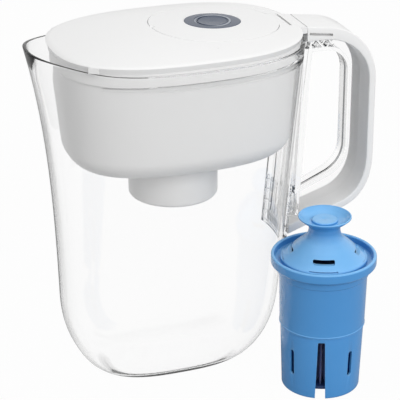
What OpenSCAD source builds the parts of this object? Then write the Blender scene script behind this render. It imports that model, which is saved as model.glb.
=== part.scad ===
// Ten-cup water filter pitcher: clear jug with a spout and a bow handle, a white tank that hangs
// in it, a white lid with a flip door and a filter indicator, and a filter cartridge beside it.
// Millimetres, +Z up. X runs from the spout (-X) to the handle (+X) and Y = 0 is the symmetry plane.
// The origin lies in the foot of the jug, under the middle of the lid.

/* [Jug] */
// Height at which the top outline of the jug is given
jug_h = 262; // [240:1:290]
// Length of the jug at the top, without the spout
jug_top_l = 189; // [180:0.5:200]
// Width of the jug at the top
jug_top_w = 138.8; // [134:0.2:150]
// Length that the side walls would have at the floor
jug_low_l = 161.4; // [150:0.2:170]
// Width that the side walls would have at the floor
jug_low_w = 102.4; // [96:0.2:112]
// Height of the rounded lower corner
foot_round_h = 62; // [40:1:75]
// How far the lower corner runs in along the jug
foot_inset_l = 45.5; // [35:0.5:50]
// How far the lower corner runs in across the jug
foot_inset_w = 28; // [20:0.5:32]
// Wall of the jug
jug_wall = 2.4; // [1.8:0.1:3.2]
// Thickness of the jug's floor
jug_floor = 4.5; // [3:0.1:6]
// How far the spout reaches past the oval of the jug
spout_reach = 19; // [12:0.5:24]
// How far the jug's rim lies below that height at its sides
rim_drop = 4; // [2:0.5:6]
// How far the rim rises to the tip of the spout
spout_rise = 8; // [4:0.5:10]
// How far the tank's ledge stands in from the wall
ledge_w = 2.6; // [2:0.1:3]

/* [Tank] */
// How much further the tank reaches towards the spout than the oval of the jug
tank_reach = 1.8; // [0:0.1:4]
// Height of the tank's flange
flange_h = 8; // [6:0.5:10]
// Depth of the tank below its flange
tank_depth = 77.5; // [70:0.5:85]
// Wall of the tank
tank_wall = 2; // [1.6:0.1:2.6]
// Floor of the tank
tank_floor = 2.5; // [2:0.1:4]
// How much the tank's walls lean in from the flange to its floor
tank_taper = 5; // [3:0.1:6]
// How far the tank's floor stands back from the spout, against its flange
tank_lean = 2.4; // [0:0.1:4]
// Rounding of the tank's lower edge
tank_round = 17; // [10:0.5:22]
// How much narrower the cup's bore is than the cartridge's shoulder, whose cone it grips
cup_grip = 0.6; // [0.4:0.05:0.8]
// Wall of the cup
cup_wall = 1.2; // [1.1:0.1:2.4]
// Depth of the cup below the tank
cup_depth = 31.5; // [24:0.5:36]
// Place of the cup along the tank
cup_x = -2; // [-6:0.5:6]

/* [Lid] */
// How far the lid's ends stand in from the jug's top outline
lid_in_l = 1; // [0.5:0.1:3]
// How far the lid's sides stand in from the jug's top outline
lid_in_w = 1.8; // [1:0.1:3.5]
// Height of the lid's edge above the jug's rim
lid_edge_h = 7; // [6:0.1:8]
// Rise of the lid from its edge to its middle
lid_crown = 7.5; // [6:0.1:9]
// Wall of the lid
lid_wall = 2.2; // [1.8:0.1:2.6]
// How deep the lid reaches into the tank
lid_plug = 6; // [4:0.5:8]
// Length of the flip door
door_l = 97; // [90:0.5:98]
// Width of the flip door
door_w = 84; // [78:0.5:88]
// Gap round the flip door
door_gap = 0.4; // [0.3:0.05:0.6]
// Wall of the flip door
door_wall = 2.2; // [1.8:0.1:2.6]
// How far the door's hinge axis stands in from the lid's end
hinge_in = 9.5; // [9:0.25:10.5]
// How far the hinge axis lies below the lid's edge
hinge_drop = 0.5; // [0.3:0.05:0.8]
// How far the door's end stands off the hinge axis
hinge_reach = 5; // [4.8:0.1:6]
// Width of the door's hinge barrel
hinge_w = 28; // [22:0.5:32]
// Radius of the hinge pins
hinge_pin_r = 1.2; // [1:0.05:1.3]

/* [Indicator] */
// Length of the indicator's oval top
ind_l = 42.5; // [40:0.5:46]
// Width of the indicator's oval top
ind_w = 36.6; // [36.4:0.1:39]
// How far the indicator stands off the middle of the door
ind_off = 1; // [0:0.5:3]
// Radius of the reset button
button_r = 11; // [9:0.1:11.4]
// Travel of the reset button
button_travel = 0.8; // [0.5:0.1:0.9]

/* [Handle] */
// How far the handle reaches past the jug
grip_reach = 59.8; // [56:0.2:68]
// Thickness of the white strap
strap_t = 5; // [4:0.1:6]
// Width of the white strap
strap_w = 34; // [24:0.5:38]
// Thickness of the clear grip rib
rib_t = 3; // [2.4:0.1:4]
// Width of the clear grip rib
rib_w = 15; // [12:0.5:18]
// Width of the clear spine
spine_w = 16; // [14:0.5:20]
// Width of the plate that carries the handle on the jug
plate_w = 38; // [34:0.5:44]
// Thickness of that plate
plate_t = 2.4; // [2:0.1:3]

/* [Cartridge] */
// Height of the cartridge's seam, where the basket meets the housing
seam_z = 52; // [44:0.2:54]
// Radius of the basket at the floor
basket_r = 29.6; // [28.4:0.1:30]
// Radius of the housing under its rim
shoulder_r = 33; // [32.6:0.1:33.6]
// Height of the shoulder under the rim
shoulder_z = 92.5; // [88:0.5:96]
// Radius of the rim
cart_rim_r = 39.4; // [39:0.1:42]
// Height of the rim above the shoulder
cart_rim_h = 15.5; // [13:0.5:16]
// Wall of the cartridge
cart_wall = 1.8; // [1.5:0.1:2.2]
// Radius of the knob
knob_r = 19.8; // [17:0.1:22]
// Height of the knob's rim above the shoulder
knob_h = 46; // [42:0.5:48]
// Pleats in the filter
pleats = 32; // [20:1:40]
// Gap between the cartridge's rim and the jug it stands beside
cart_gap = 1.8; // [1:0.1:12]

/* [Hidden] */

// ---- shared clearances and small sizes ----
fit = 0.3;          // gap between pieces that lift off each other
pin_fit = 0.05;     // radial running clearance of the hinge pins and the button
seat = 0.1;         // gap between fixed pieces of one assembly
edge = 0.8;         // small edge rounding of rims
steps = 64;         // points round every oval ring
clear_plastic = [0.86, 0.9, 0.93, 0.45];
white_plastic = [0.95, 0.95, 0.95];
slate_plastic = [0.42, 0.47, 0.56];
blue_plastic = [0.35, 0.62, 0.88];

// ---- oval outlines and lofted shells ----
function spow(v, p) = sign(v) * pow(abs(v), p);
function oval(a, b, n, cx = 0) =
    [for (i = [0 : steps - 1]) let (t = 360 * i / steps)
        [cx + a * spow(cos(t), 2 / n), b * spow(sin(t), 2 / n)]];
function lift(outline, z) = [for (p = outline) [p.x, p.y, z]];

// A closed solid through rings that all have the same number of points
module loft(rings) {
    m = len(rings[0]);
    last = (len(rings) - 1) * m;
    polyhedron(
        points = [for (r = rings) each r],
        faces = concat(
            [[for (i = [0 : m - 1]) i]],
            [[for (i = [m - 1 : -1 : 0]) last + i]],
            [for (k = [0 : len(rings) - 2], i = [0 : m - 1])
                let (a = k * m, j = (i + 1) % m) [a + i, a + m + i, a + m + j]],
            [for (k = [0 : len(rings) - 2], i = [0 : m - 1])
                let (a = k * m, j = (i + 1) % m) [a + i, a + m + j, a + j]]
        )
    );
}

// A flat outline in X and Z, drawn w wide across the symmetry plane
module across(outline, w) {
    translate([0, w / 2, 0]) rotate([90, 0, 0]) linear_extrude(w) polygon(outline);
}
// A run of points round a corner: sq = 2 is round, more is squarer
function bend(cx, cz, rx, rz, a0, a1, sq = 2, n = 12) =
    [for (i = [0 : n]) let (a = a0 + (a1 - a0) * i / n)
        [cx + rx * spow(cos(a), 2 / sq), cz + rz * spow(sin(a), 2 / sq)]];

// ---- heights that hang together ----
rim_z = jug_h - rim_drop;        // the jug's rim at its sides
flange_z = rim_z - flange_h;     // underside of the tank's flange
tank_z = flange_z - tank_depth;  // underside of the tank
lid_edge_z = rim_z + lid_edge_h;

// ---- the jug's own form ----
lean_low = -7.8;    // middle of the walls at the floor
lean_top = 1.7;     // middle of the walls at the top
sq_low = 2.84;      // squareness of the outline at the floor
sq_top = 2.54;      // squareness of the outline at the top
foot_sq = 2.33;     // squareness of the lower corner
spout_curl = 3.2;   // how late the spout leaves the wall
spout_pinch = 8;    // how narrow the spout is

function blend(lo, hi, z) = lo + (hi - lo) * z / jug_h;
function foot_in(z) =
    let (u = max(0, (foot_round_h - z) / foot_round_h)) 1 - pow(1 - pow(u, foot_sq), 1 / foot_sq);
// One point of the jug's wall: t degrees round, z high, inset from the outer face
function jug_pt(t, z, inset) =
    let (n = blend(sq_low, sq_top, z),
         a = blend(jug_low_l, jug_top_l, z) / 2 - foot_inset_l * foot_in(z) - inset,
         b = blend(jug_low_w, jug_top_w, z) / 2 - foot_inset_w * foot_in(z) - inset,
         beak = spout_reach * pow(z / jug_h, spout_curl) * pow(max(0, -cos(t)), spout_pinch))
    [blend(lean_low, lean_top, z) + a * spow(cos(t), 2 / n) - beak, b * spow(sin(t), 2 / n), z];
function jug_ring(z, inset = 0) = [for (i = [0 : steps - 1]) jug_pt(360 * i / steps, z, inset)];
// The rim climbs towards the tip of the spout
function rim_at(t) = rim_z + spout_rise * pow(max(0, -cos(t)), 6);
function rim_ring(drop, inset) =
    [for (i = [0 : steps - 1]) let (t = 360 * i / steps) jug_pt(t, rim_at(t) - drop, inset)];
// The ledge runs round the jug, narrows beside the tank's front and stops before the spout
function ledge_share(t) = cos(t) > -0.72 ? max(0.6, 1 - 2 * max(0, -0.2 - cos(t))) : 0;
function ledge_ring(z, out, from = jug_wall) =
    [for (i = [0 : steps - 1]) let (t = 360 * i / steps) jug_pt(t, z, from + out * ledge_share(t))];
function jug_half_l(z) = blend(jug_low_l, jug_top_l, z) / 2;
function jug_half_w(z) = blend(jug_low_w, jug_top_w, z) / 2;
function jug_mid(z) = blend(lean_low, lean_top, z);
function jug_back(z) = jug_mid(z) + jug_half_l(z);

ledge_z = flange_z - fit;        // top of the ledge
ledge_h = 1.6;                   // depth of the ledge at its inner edge
ledge_foot = 5;                  // depth of the ledge at the wall
groove_z = flange_z + 0.4;       // top of the shallow groove round the outside
groove_h = 3.6;
groove_d = 0.5;
foot_levels = [0, 1, 3.5, 8, 14, 22, 33, 46];
wall_shares = [0, 0.31, 0.62, 0.83];
function wall_z(k) = foot_round_h + k * (ledge_z - ledge_foot - foot_round_h);

module jug_body() {
    outer = concat(
        [for (z = foot_levels) jug_ring(z)],
        [for (k = wall_shares) jug_ring(wall_z(k))],
        [ledge_ring(groove_z - groove_h, 0, 0), ledge_ring(groove_z - groove_h + groove_d, groove_d, 0),
         ledge_ring(groove_z - groove_d, groove_d, 0), ledge_ring(groove_z, 0, 0)],
        [rim_ring(edge, 0), rim_ring(0, edge / 2)]);
    inner = concat(
        [rim_ring(0, jug_wall - edge / 2), rim_ring(edge, jug_wall)],
        [ledge_ring(ledge_z + 0.2, 0), ledge_ring(ledge_z, ledge_w), ledge_ring(ledge_z - ledge_h, ledge_w),
         ledge_ring(ledge_z - ledge_foot, 0)],
        [for (i = [len(wall_shares) - 1 : -1 : 0]) jug_ring(wall_z(wall_shares[i]), jug_wall)],
        [for (i = [len(foot_levels) - 1 : -1 : 3]) jug_ring(foot_levels[i], jug_wall)],
        [jug_ring(jug_floor, jug_wall + 1.2)]);
    color(clear_plastic) loft(concat(outer, inner));
}

// ---- handle ----
back_x = lean_top + jug_top_l / 2;
grip_x = back_x + grip_reach;
bend_r = 44;                     // reach of the strap's big bends
corner_x = grip_x - bend_r;
top_bend_z = lid_edge_z - 48.5;  // middle of the upper bend
top_bend_h = 45.5;               // rise of the upper bend
low_bend_z = 159;                // middle of the lower bend
low_bend_h = 48;                 // drop of the lower bend
low_sq = 2.6;                    // squareness of the lower bend
low_turn = 68.3;                 // where the outer line leaves the lower bend for the jug
low_turn_in = 70.1;              // and where the inner line leaves it
strap_top_z = lid_edge_z - 0.8;  // the strap starts level with the lid's tongue
strap_x = back_x + 2.4;          // face of the strap towards the lid
strap_deep = 11.5;               // depth of the strap's top arm
strap_end_z = 97.5;              // underside of the strap at the jug
strap_end_h = 7;                 // depth of the strap's end at the jug
plate_low_z = 96;                // lower end of the handle's plate
spine_top_z = strap_top_z - strap_deep - fit;
spine_low_z = strap_end_z + strap_end_h + 4;
spine_out_top = back_x + 10.8;   // outer face of the spine at its top
spine_out_low = jug_back(spine_low_z) + 15.5;
opening_top_z = lid_edge_z - 24.5;
opening_x = grip_x - strap_t - 14.5;
lattice_t = 1.6;                 // height of the ribs on the handle's plate
lattice_w = 1.2;                 // and their width

function strap_end_x() = jug_back(strap_end_z + strap_end_h) + seat + plate_t + lattice_t + seat;
// Outline of the strap's outer face, and of its inner face drawn in by more
function strap_outer() = concat(
    [[strap_x, strap_top_z]],
    bend(corner_x, top_bend_z, bend_r, top_bend_h, 84, 0),
    bend(corner_x, low_bend_z, bend_r, low_bend_h, 0, -low_turn, low_sq),
    [[strap_end_x(), strap_end_z]]);
function strap_inner(more) =
    let (r = bend_r - strap_t - more) concat(
    [[strap_end_x(), strap_end_z + strap_end_h + more]],
    bend(corner_x, low_bend_z, r, low_bend_h - strap_t - more, -low_turn_in, 0, low_sq),
    bend(corner_x, top_bend_z, r, strap_top_z - strap_deep - more - top_bend_z, 0, 90),
    [[strap_x, strap_top_z - strap_deep - more]]);
// The finger opening, drawn out by more
function finger_outline(more) = concat(
    [[spine_out_top - 2 * more, opening_top_z + more]],
    bend(opening_x - 18.5, opening_top_z - 18.5, 18.5 + more, 18.5 + more, 90, 0),
    bend(opening_x - 24, 162, 24 + more, 24 + more, 0, -65),
    [[spine_out_low - more, 129 - more]]);

module sleeve(from, to, z0, z1) {
    difference() {
        loft([for (z = [z0, (z0 + z1) / 2, z1]) jug_ring(z, -to)]);
        loft([for (z = [z0 - 1, (z0 + z1) / 2, z1 + 1]) jug_ring(z, -from)]);
    }
}
module handle_plate() {
    intersection() {
        sleeve(seat, seat + plate_t, plate_low_z, spine_top_z - 4);
        translate([0, -plate_w / 2, 0]) cube([grip_x, plate_w, jug_h]);
    }
    // ribs that stiffen the foot of the plate, where the strap's clips take hold
    intersection() {
        sleeve(seat + plate_t - 0.3, seat + plate_t + lattice_t, plate_low_z, 136);
        union() {
            for (k = [-1, -0.64, -0.28, 0.28, 0.64, 1])
                translate([0, k * (plate_w - lattice_w) / 2 - lattice_w / 2, plate_low_z]) cube([grip_x, lattice_w, 38]);
            for (z = [plate_low_z, 104, 113, 122, 130])
                translate([0, -plate_w / 2, z]) cube([grip_x, plate_w, lattice_w]);
        }
    }
}
module brace(x0, z0, x1, z1) {
    l = norm([x1 - x0, z1 - z0]);
    translate([x0, 0, z0]) rotate([0, -atan2(z1 - z0, x1 - x0), 0])
        translate([0, -rib_w / 2, -0.7]) cube([l, rib_w, 1.4]);
}
module handle_frame() {
    spine_in = seat + plate_t - 0.4;
    spine = [
        [jug_back(spine_low_z) + spine_in, spine_low_z], [jug_back(spine_top_z) + spine_in, spine_top_z],
        [spine_out_top, spine_top_z], [spine_out_low, spine_low_z]];
    hollow = [
        [jug_back(spine_low_z) + plate_t + 1, spine_low_z - 1],
        [jug_back(spine_top_z) + plate_t + 1, spine_top_z - 3],
        [spine_out_top - 2.2, spine_top_z - 3], [spine_out_low - 2.2, spine_low_z - 1]];
    color(clear_plastic) {
        handle_plate();
        difference() {
            across(spine, spine_w);
            for (s = [-1, 1]) translate([0, s * (spine_w / 4 - 0.1), 0]) across(hollow, spine_w / 2 - 2.6);
        }
        // web between the strap and the grip rib
        difference() {
            across(concat(strap_inner(fit), [[spine_out_top - 1, spine_top_z], [spine_out_low - 1, spine_low_z + 2]]), rib_t);
            across(finger_outline(0), rib_t + 1);
            translate([0, -rib_w, 0]) cube([spine_out_low - 0.5, 2 * rib_w, spine_low_z + 4]);
        }
        // rounded rib that the fingers close on
        difference() {
            across(finger_outline(rib_t), rib_w);
            across(finger_outline(0), rib_w + 1);
        }
        // crossed braces under the strap's top arm
        intersection() {
            across(concat(strap_inner(fit), [[spine_out_top, spine_top_z], [spine_out_low, spine_low_z]]), rib_w);
            for (x = [spine_out_top + 2, spine_out_top + 11]) {
                brace(x, opening_top_z + 2, x + 7.5, spine_top_z - 0.8);
                brace(x, spine_top_z - 0.8, x + 7.5, opening_top_z + 2);
            }
        }
    }
}
module handle_cover() {
    slit_l = 19;
    slit_h = 2;
    slit_tilt = 8;                   // the slit falls with the strap's bend
    color(white_plastic) difference() {
        across(concat(strap_outer(), strap_inner(0)), strap_w);
        for (s = [-1, 1]) translate([strap_x + 1.5, s * strap_w / 2 - 1.5, strap_top_z - 6.8])
            rotate([0, slit_tilt, 0]) cube([slit_l, 3, slit_h]);
        // channel that takes the clear web
        across(concat(strap_inner(-1.5), [[strap_x - 1, spine_top_z]]), rib_t + 2 * seat);
    }
}

// ---- tank ----
cup_bore_r = shoulder_r - cup_grip;
tank_gap = 0.75;                 // gap between the tank's flange and the jug's wall
tank_top_z = rim_z;
band_a = jug_half_l(flange_z) - jug_wall - tank_gap + tank_reach / 2;
band_b = jug_half_w(flange_z) - jug_wall - tank_gap;
tank_mid = jug_mid(flange_z) - tank_reach / 2;
tank_sq = blend(sq_low, sq_top, flange_z);
body_in = ledge_w + fit;         // the tank's body clears the ledge
function body_ring(z, inset) =
    let (k = (flange_z - z) / (flange_z - tank_z),
         u = max(0, (tank_round - (z - tank_z)) / tank_round),
         r = tank_round * (1 - sqrt(1 - u * u)) + tank_taper * k + inset)
    lift(oval(band_a - body_in / 2 - r, band_b - body_in - r, tank_sq,
        tank_mid - body_in / 2 + tank_lean * k), z);
tank_levels = [0, 0.06, 0.2, 0.42, 0.7, 1];

module tank() {
    outer = concat(
        [for (f = tank_levels) body_ring(tank_z + f * tank_round, 0)],
        [body_ring(flange_z - 0.01, 0)],
        [for (z = [flange_z, tank_top_z]) lift(oval(band_a, band_b, tank_sq, tank_mid), z)]);
    inner = concat(
        [lift(oval(band_a - tank_wall, band_b - tank_wall, tank_sq, tank_mid), tank_top_z)],
        [lift(oval(band_a - tank_wall, band_b - tank_wall, tank_sq, tank_mid), flange_z + 2)],
        [body_ring(flange_z - 0.5, tank_wall)],
        [for (i = [len(tank_levels) - 1 : -1 : 2]) body_ring(tank_z + tank_levels[i] * tank_round, tank_wall)],
        [body_ring(tank_z + tank_floor, tank_wall + 0.6)]);
    cup_r = cup_bore_r + cup_wall;
    cup_round = 3;
    color(white_plastic) difference() {
        union() {
            loft(concat(outer, inner));
            translate([cup_x, 0, tank_z - cup_depth]) rotate_extrude($fn = 96) polygon(concat(
                [[cup_bore_r - 2, 0]],
                bend(cup_r - cup_round, cup_round, cup_round, cup_round, -90, 0, 2, 6),
                [[cup_r, cup_depth + 0.5], [cup_r + 0.9, cup_depth + tank_floor - 0.5],
                 [cup_bore_r - 2, cup_depth + tank_floor - 0.5]]));
            // fine raised line round the top of the cup
            translate([cup_x, 0, tank_z - 5]) cylinder(r = cup_r + 0.5, h = 1.2, $fn = 96);
        }
        translate([cup_x, 0, tank_z - cup_depth - 1])
            cylinder(r = cup_bore_r, h = cup_depth + tank_floor + 2, $fn = 96);
    }
}

// ---- lid ----
lid_a = jug_top_l / 2 - lid_in_l;
lid_b = jug_top_w / 2 - lid_in_w;
hinge_x = lid_a - hinge_in;
hinge_z = lid_edge_z - hinge_drop;
door_x = hinge_x - hinge_reach - door_l / 2;
lid_sq = 2.61;
lid_low_z = tank_top_z + fit;
lid_side_in = 2.2;               // how much the lid's side leans in to its lower edge
crown_levels = [0.96, 0.9, 0.8, 0.65, 0.45, 0.2];
// Height of the lid's skin at a share f of the way out to its edge
function crown_z(f) = lid_edge_z + 0.2 + lid_crown * (1 - pow(f, 2.2));
function lid_ring(f, z, inset = 0) = lift(oval(lid_a * f - inset, lid_b * f - inset, lid_sq), z);

// The solid under the lid's skin, drawn down by drop and in by inset
module crown_solid(drop = 0, inset = 0, low = lid_low_z) {
    loft(concat(
        [lid_ring(1, low, lid_side_in + inset), lid_ring(1, lid_edge_z - 1.6 - drop, 0.3 + inset),
         lid_ring(1, lid_edge_z - 0.6 - drop, inset)],
        [for (f = crown_levels) lid_ring(f, crown_z(f) - drop, inset)]));
}
module oval_prism(l, w, n, cx, z0, z1) {
    translate([0, 0, z0]) linear_extrude(z1 - z0) polygon(oval(l / 2, w / 2, n, cx));
}
door_sq = 2.1;
door_seat_z = lid_edge_z - 2.1;  // underside of the door's rim
sill_t = 2;                      // ledge that the door lands on
sill_w = 4.4;
sky = lid_edge_z + 20;
barrel_r = 2.2;                  // the barrel's back lies flush with the lid's skin
pocket_in = 8;                   // hinge pocket, from the axis towards the door
pocket_out = barrel_r + 3 * fit; // and from the axis towards the handle
ear_w = 4;                       // lid material that each hinge pin turns in
pin_l = 3;
tongue_w = 34;
stop_t = 142;                    // place of the lid's stops round the jug, and their width
stop_w = 7.5;
stop_turn = 54;
stop_l = 5;
stop_low_z = rim_at(stop_t) + 1; // the stops lie over the jug's rim
stop_at = jug_pt(stop_t, stop_low_z, edge / 2);
tongue_x = strap_x - fit;

module along_y(x, z, r, y0, y1) {
    translate([x, y1, z]) rotate([90, 0, 0]) cylinder(r = r, h = y1 - y0, $fn = 48);
}
// A band that fits inside the top of the tank, or reaches further out by wide
module plug_ring(z0, z1, wide) {
    l = 2 * (band_a - tank_wall - fit);
    w = 2 * (band_b - tank_wall - fit);
    difference() {
        oval_prism(l + wide, w + wide, tank_sq, tank_mid, z0, z1);
        oval_prism(l - 2 * lid_wall, w - 2 * lid_wall, tank_sq, tank_mid, z0 - 1, z1 + 1);
    }
}
module lid() {
    bore_r = hinge_pin_r + pin_fit;
    half = hinge_w / 2 + fit;
    color(white_plastic) difference() {
        union() {
            // skin, with the frame of the door's seat, the hinge block and a shoulder left under it
            difference() {
                crown_solid();
                difference() {
                    crown_solid(lid_wall, lid_wall, lid_low_z - 1);
                    oval_prism(door_l + 2 * door_gap + 4, door_w + 2 * door_gap + 4, door_sq, door_x,
                        door_seat_z - fit - sill_t, sky);
                    translate([hinge_x - 10, -half - ear_w, lid_low_z]) cube([19, 2 * (half + ear_w), 20]);
                    plug_ring(lid_low_z, lid_low_z + 1.6, lid_wall + 6);
                }
            }
            // plug that centres the lid in the tank
            plug_ring(lid_low_z - lid_plug, lid_low_z + 2, 0);
            // tongue that meets the handle
            across([[hinge_x + 4, lid_low_z + 0.6], [tongue_x, lid_low_z + 1.2], [tongue_x, strap_top_z],
                    [hinge_x + 8, strap_top_z + 0.6], [hinge_x + 4, strap_top_z + 0.6]], tongue_w);
            // small stops on the lid's side that reach over the rim, one to each side of the spout
            for (s = [-1, 1]) translate([stop_at.x, s * stop_at.y, stop_low_z]) rotate([0, 0, -s * stop_turn])
                translate([0, -stop_w / 2, 0]) cube([stop_l, stop_w, lid_edge_z - 0.8 - stop_low_z]);
        }
        // recess that the door lies in, and the fill opening under it
        oval_prism(door_l + 2 * door_gap, door_w + 2 * door_gap, door_sq, door_x, door_seat_z - fit, sky);
        oval_prism(door_l - 2 * sill_w, door_w - 2 * sill_w, door_sq, door_x - 1, lid_low_z - 2, sky);
        // hinge pocket and the bores of the pins
        translate([hinge_x - pocket_in, -half, hinge_z - barrel_r - fit])
            cube([pocket_in + pocket_out, 2 * half, 20]);
        for (s = [0, 1]) mirror([0, s, 0]) along_y(hinge_x, hinge_z, bore_r, half - 0.5, half + ear_w + 1);
    }
}

// ---- flip door ----
door_lean = 2.4;                 // the door's hinge end leans in downwards, to swing clear of the lid
notch_r = 5;                     // ball that the thumb notch is cut with
ind_sq = 2;
ind_x = door_x - ind_off;
ring_seat_z = lid_edge_z + 2.4;  // ledge in the door that the indicator's ring sits on
well_r = ind_w / 2 - 0.7;
well_wall = 3;
// The door's outline drawn in by inset, from low up past the skin
module door_form(inset, low) {
    a = door_l / 2 - inset;
    b = door_w / 2 - inset;
    foot = oval(a - door_lean / 2, b, door_sq, door_x - door_lean / 2);
    loft([lift(foot, low), lift(foot, door_seat_z + 0.4),
        lift(oval(a, b, door_sq, door_x), crown_z(0.84)), lift(oval(a, b, door_sq, door_x), sky)]);
}
module flip_door() {
    color(white_plastic) difference() {
        union() {
            intersection() {
                crown_solid();
                union() {
                    // skin and rim
                    difference() {
                        door_form(0, door_seat_z);
                        intersection() {
                            crown_solid(door_wall, 0, lid_low_z - 2);
                            door_form(door_wall, door_seat_z - 1);
                        }
                    }
                    // boss round the indicator, two ribs to the hinge, and the hinge's arm
                    oval_prism(ind_l + 4, ind_w + 4, ind_sq, ind_x, ring_seat_z - 1.8, sky);
                    for (s = [-1, 1]) translate([ind_x, s * hinge_w / 3 - 0.8, door_seat_z])
                        cube([hinge_x - ind_x - 6, 1.6, 20]);
                    translate([hinge_x - 8 + fit, -hinge_w / 2, hinge_z - 0.6]) cube([8 - fit, hinge_w, 8]);
                }
            }
            along_y(hinge_x, hinge_z, barrel_r, -hinge_w / 2, hinge_w / 2);
            along_y(hinge_x, hinge_z, hinge_pin_r, -hinge_w / 2 - pin_l, hinge_w / 2 + pin_l);
        }
        // seat of the indicator
        oval_prism(ind_l + 2 * seat, ind_w + 2 * seat, ind_sq, ind_x, ring_seat_z, sky);
        translate([ind_x, 0, door_seat_z - 2]) cylinder(r = well_r + seat, h = 20, $fn = 96);
        // thumb notch at the free end
        translate([door_x - door_l / 2, 0, crown_z(0.1) + 4]) sphere(r = notch_r, $fn = 64);
    }
}

// ---- indicator module ----
well_low_z = lid_edge_z - 10.2;
board_z = lid_edge_z - 6;
board_t = 1.2;
dome_h = 0.8;
button_top_z = crown_z(0.36) - 0.1;
lens_in = button_r + 1.1;
lens_out = lens_in + 1.4;
lens_t = 1.2;
function ring_z(r0, z0, r1, z1) = [[r0, z0], [r1, z0], [r1, z1], [r0, z1]];
module ring(r0, r1, z0, z1) {
    translate([ind_x, 0, 0]) rotate_extrude($fn = 96) polygon(ring_z(r0, z0, r1, z1));
}
module indicator_housing() {
    color(slate_plastic) difference() {
        union() {
            intersection() {
                crown_solid();
                oval_prism(ind_l, ind_w, ind_sq, ind_x, ring_seat_z + seat, sky);
            }
            ring(well_r - well_wall, well_r, well_low_z, ring_seat_z + 0.5);
        }
        translate([ind_x, 0, ring_seat_z - 1]) cylinder(r = button_r + pin_fit, h = 20, $fn = 96);
        ring(lens_in - seat / 2, lens_out + seat / 2, button_top_z - lens_t - seat, sky);
        at_screws() translate([0, 0, well_low_z - 1]) cylinder(r = screw_r + 0.05, h = screw_grip + 1, $fn = 24);
    }
}
module light_ring() {
    color("gainsboro") ring(lens_in, lens_out, button_top_z - lens_t, button_top_z + 0.1);
}
module circuit_board() {
    color("darkgreen") ring(2.2, well_r - well_wall - seat, board_z, board_z + board_t);
    color("darkgreen") translate([ind_x, 0, board_z]) cylinder(r = 2.2, h = board_t, $fn = 48);
}
module dome_switch() {
    color("silver") translate([ind_x, 0, board_z + board_t]) rotate_extrude($fn = 48)
        polygon([[0, 0], [3, 0], [3, 0.2], [2.4, dome_h - 0.1], [1.6, dome_h], [0, dome_h]]);
}
module status_leds() {
    color("lightgreen") for (a = [90, 210, 330]) translate([ind_x, 0, board_z + board_t]) rotate([0, 0, a])
        translate([lens_in - 0.2, -0.8, 0]) cube([1.2, 1.6, 0.8]);
}
cell_r = 10;
cell_t = 3.2;
cell_z = board_z - cell_t - 0.4;
module coin_cell() {
    color("silver") ring(0.01, cell_r, cell_z, cell_z + cell_t);
}
module battery_clip() {
    // spring strip over the cell, with a leg to the board at each end
    color("goldenrod") difference() {
        translate([ind_x - cell_r - 1, -2.5, cell_z - 0.5])
            cube([2 * cell_r + 2, 5, board_z - cell_z + 0.5]);
        translate([ind_x - cell_r - 0.4, -3, cell_z - seat]) cube([2 * cell_r + 0.8, 6, 10]);
    }
}
screw_at = well_r - well_wall / 2;
screw_r = 0.6;
screw_hole_r = screw_r + 0.2;
screw_head_h = 0.9;
screw_grip = 3.5;                // how far the screws reach past the cover
// The four places of the cover's screws
module at_screws() {
    for (a = [45 : 90 : 315]) translate([ind_x, 0, 0]) rotate([0, 0, a]) translate([screw_at, 0, 0]) children();
}
seal_t = 0.8;
module back_seal() {
    color("dimgray") difference() {
        ring(well_r - well_wall, well_r, well_low_z - seal_t, well_low_z);
        at_screws() translate([0, 0, well_low_z - 2]) cylinder(r = screw_hole_r, h = 4, $fn = 24);
    }
}
cover_t = 2;
cover_low_z = well_low_z - seal_t - cover_t;
module back_cover() {
    color(slate_plastic) difference() {
        union() {
            translate([ind_x, 0, cover_low_z]) cylinder(r = well_r, h = cover_t, $fn = 96);
            // grip bar for a coin or a fingertip
            translate([ind_x - 7, -1.2, cover_low_z - 1]) cube([14, 2.4, 1.5]);
        }
        at_screws() translate([0, 0, cover_low_z - 1]) cylinder(r = screw_hole_r, h = cover_t + 2, $fn = 24);
    }
}
module cover_screws() {
    color("silver") at_screws() {
        translate([0, 0, cover_low_z - screw_head_h]) cylinder(r = 1.4, h = screw_head_h, $fn = 24);
        translate([0, 0, cover_low_z - 0.1]) cylinder(r = screw_r, h = cover_t + screw_grip, $fn = 24);
    }
}
module reset_button() {
    lip_z = ring_seat_z - 0.2;
    stem_low = board_z + board_t + dome_h + button_travel + seat;
    color([0.52, 0.57, 0.65]) translate([ind_x, 0, 0]) rotate_extrude($fn = 96) polygon([
        [0, stem_low], [2.4, stem_low], [2.4, lip_z - 1], [button_r + 1.2, lip_z - 1], [button_r + 1.2, lip_z],
        [button_r, lip_z], [button_r, button_top_z - 0.5], [button_r - 0.5, button_top_z],
        [button_r - 3, button_top_z - 0.3], [0, button_top_z - 0.7]]);
}

// ---- cartridge ----
cart_turn = -24;                 // the cartridge's front, measured from the jug's -Y side
stand_t = -43;                   // place round the jug where the cartridge stands
cart_top_z = shoulder_z + cart_rim_h;
function cart_at() =
    let (p = jug_pt(stand_t, cart_top_z, 0), q = jug_pt(stand_t + 1, cart_top_z, 0),
         d = [q.x - p.x, q.y - p.y] / norm([q.x - p.x, q.y - p.y]))
    [p.x + d.y * (cart_rim_r + cart_gap), p.y - d.x * (cart_rim_r + cart_gap), 0];
module beside_jug() {
    translate(cart_at()) rotate([0, 0, cart_turn]) children();
}
seam_r = shoulder_r - 1;         // radius of the housing at the seam
seam_step = 0.6;                 // the basket stands in a little from the housing
dish_z = cart_top_z - 5.5;       // floor of the rim's dish
media_r = basket_r - cart_wall - 1.3;
media_low_z = 10.5;
media_top_z = shoulder_z - 1;
core_r = 9;
cap_t = 2.6;

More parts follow.
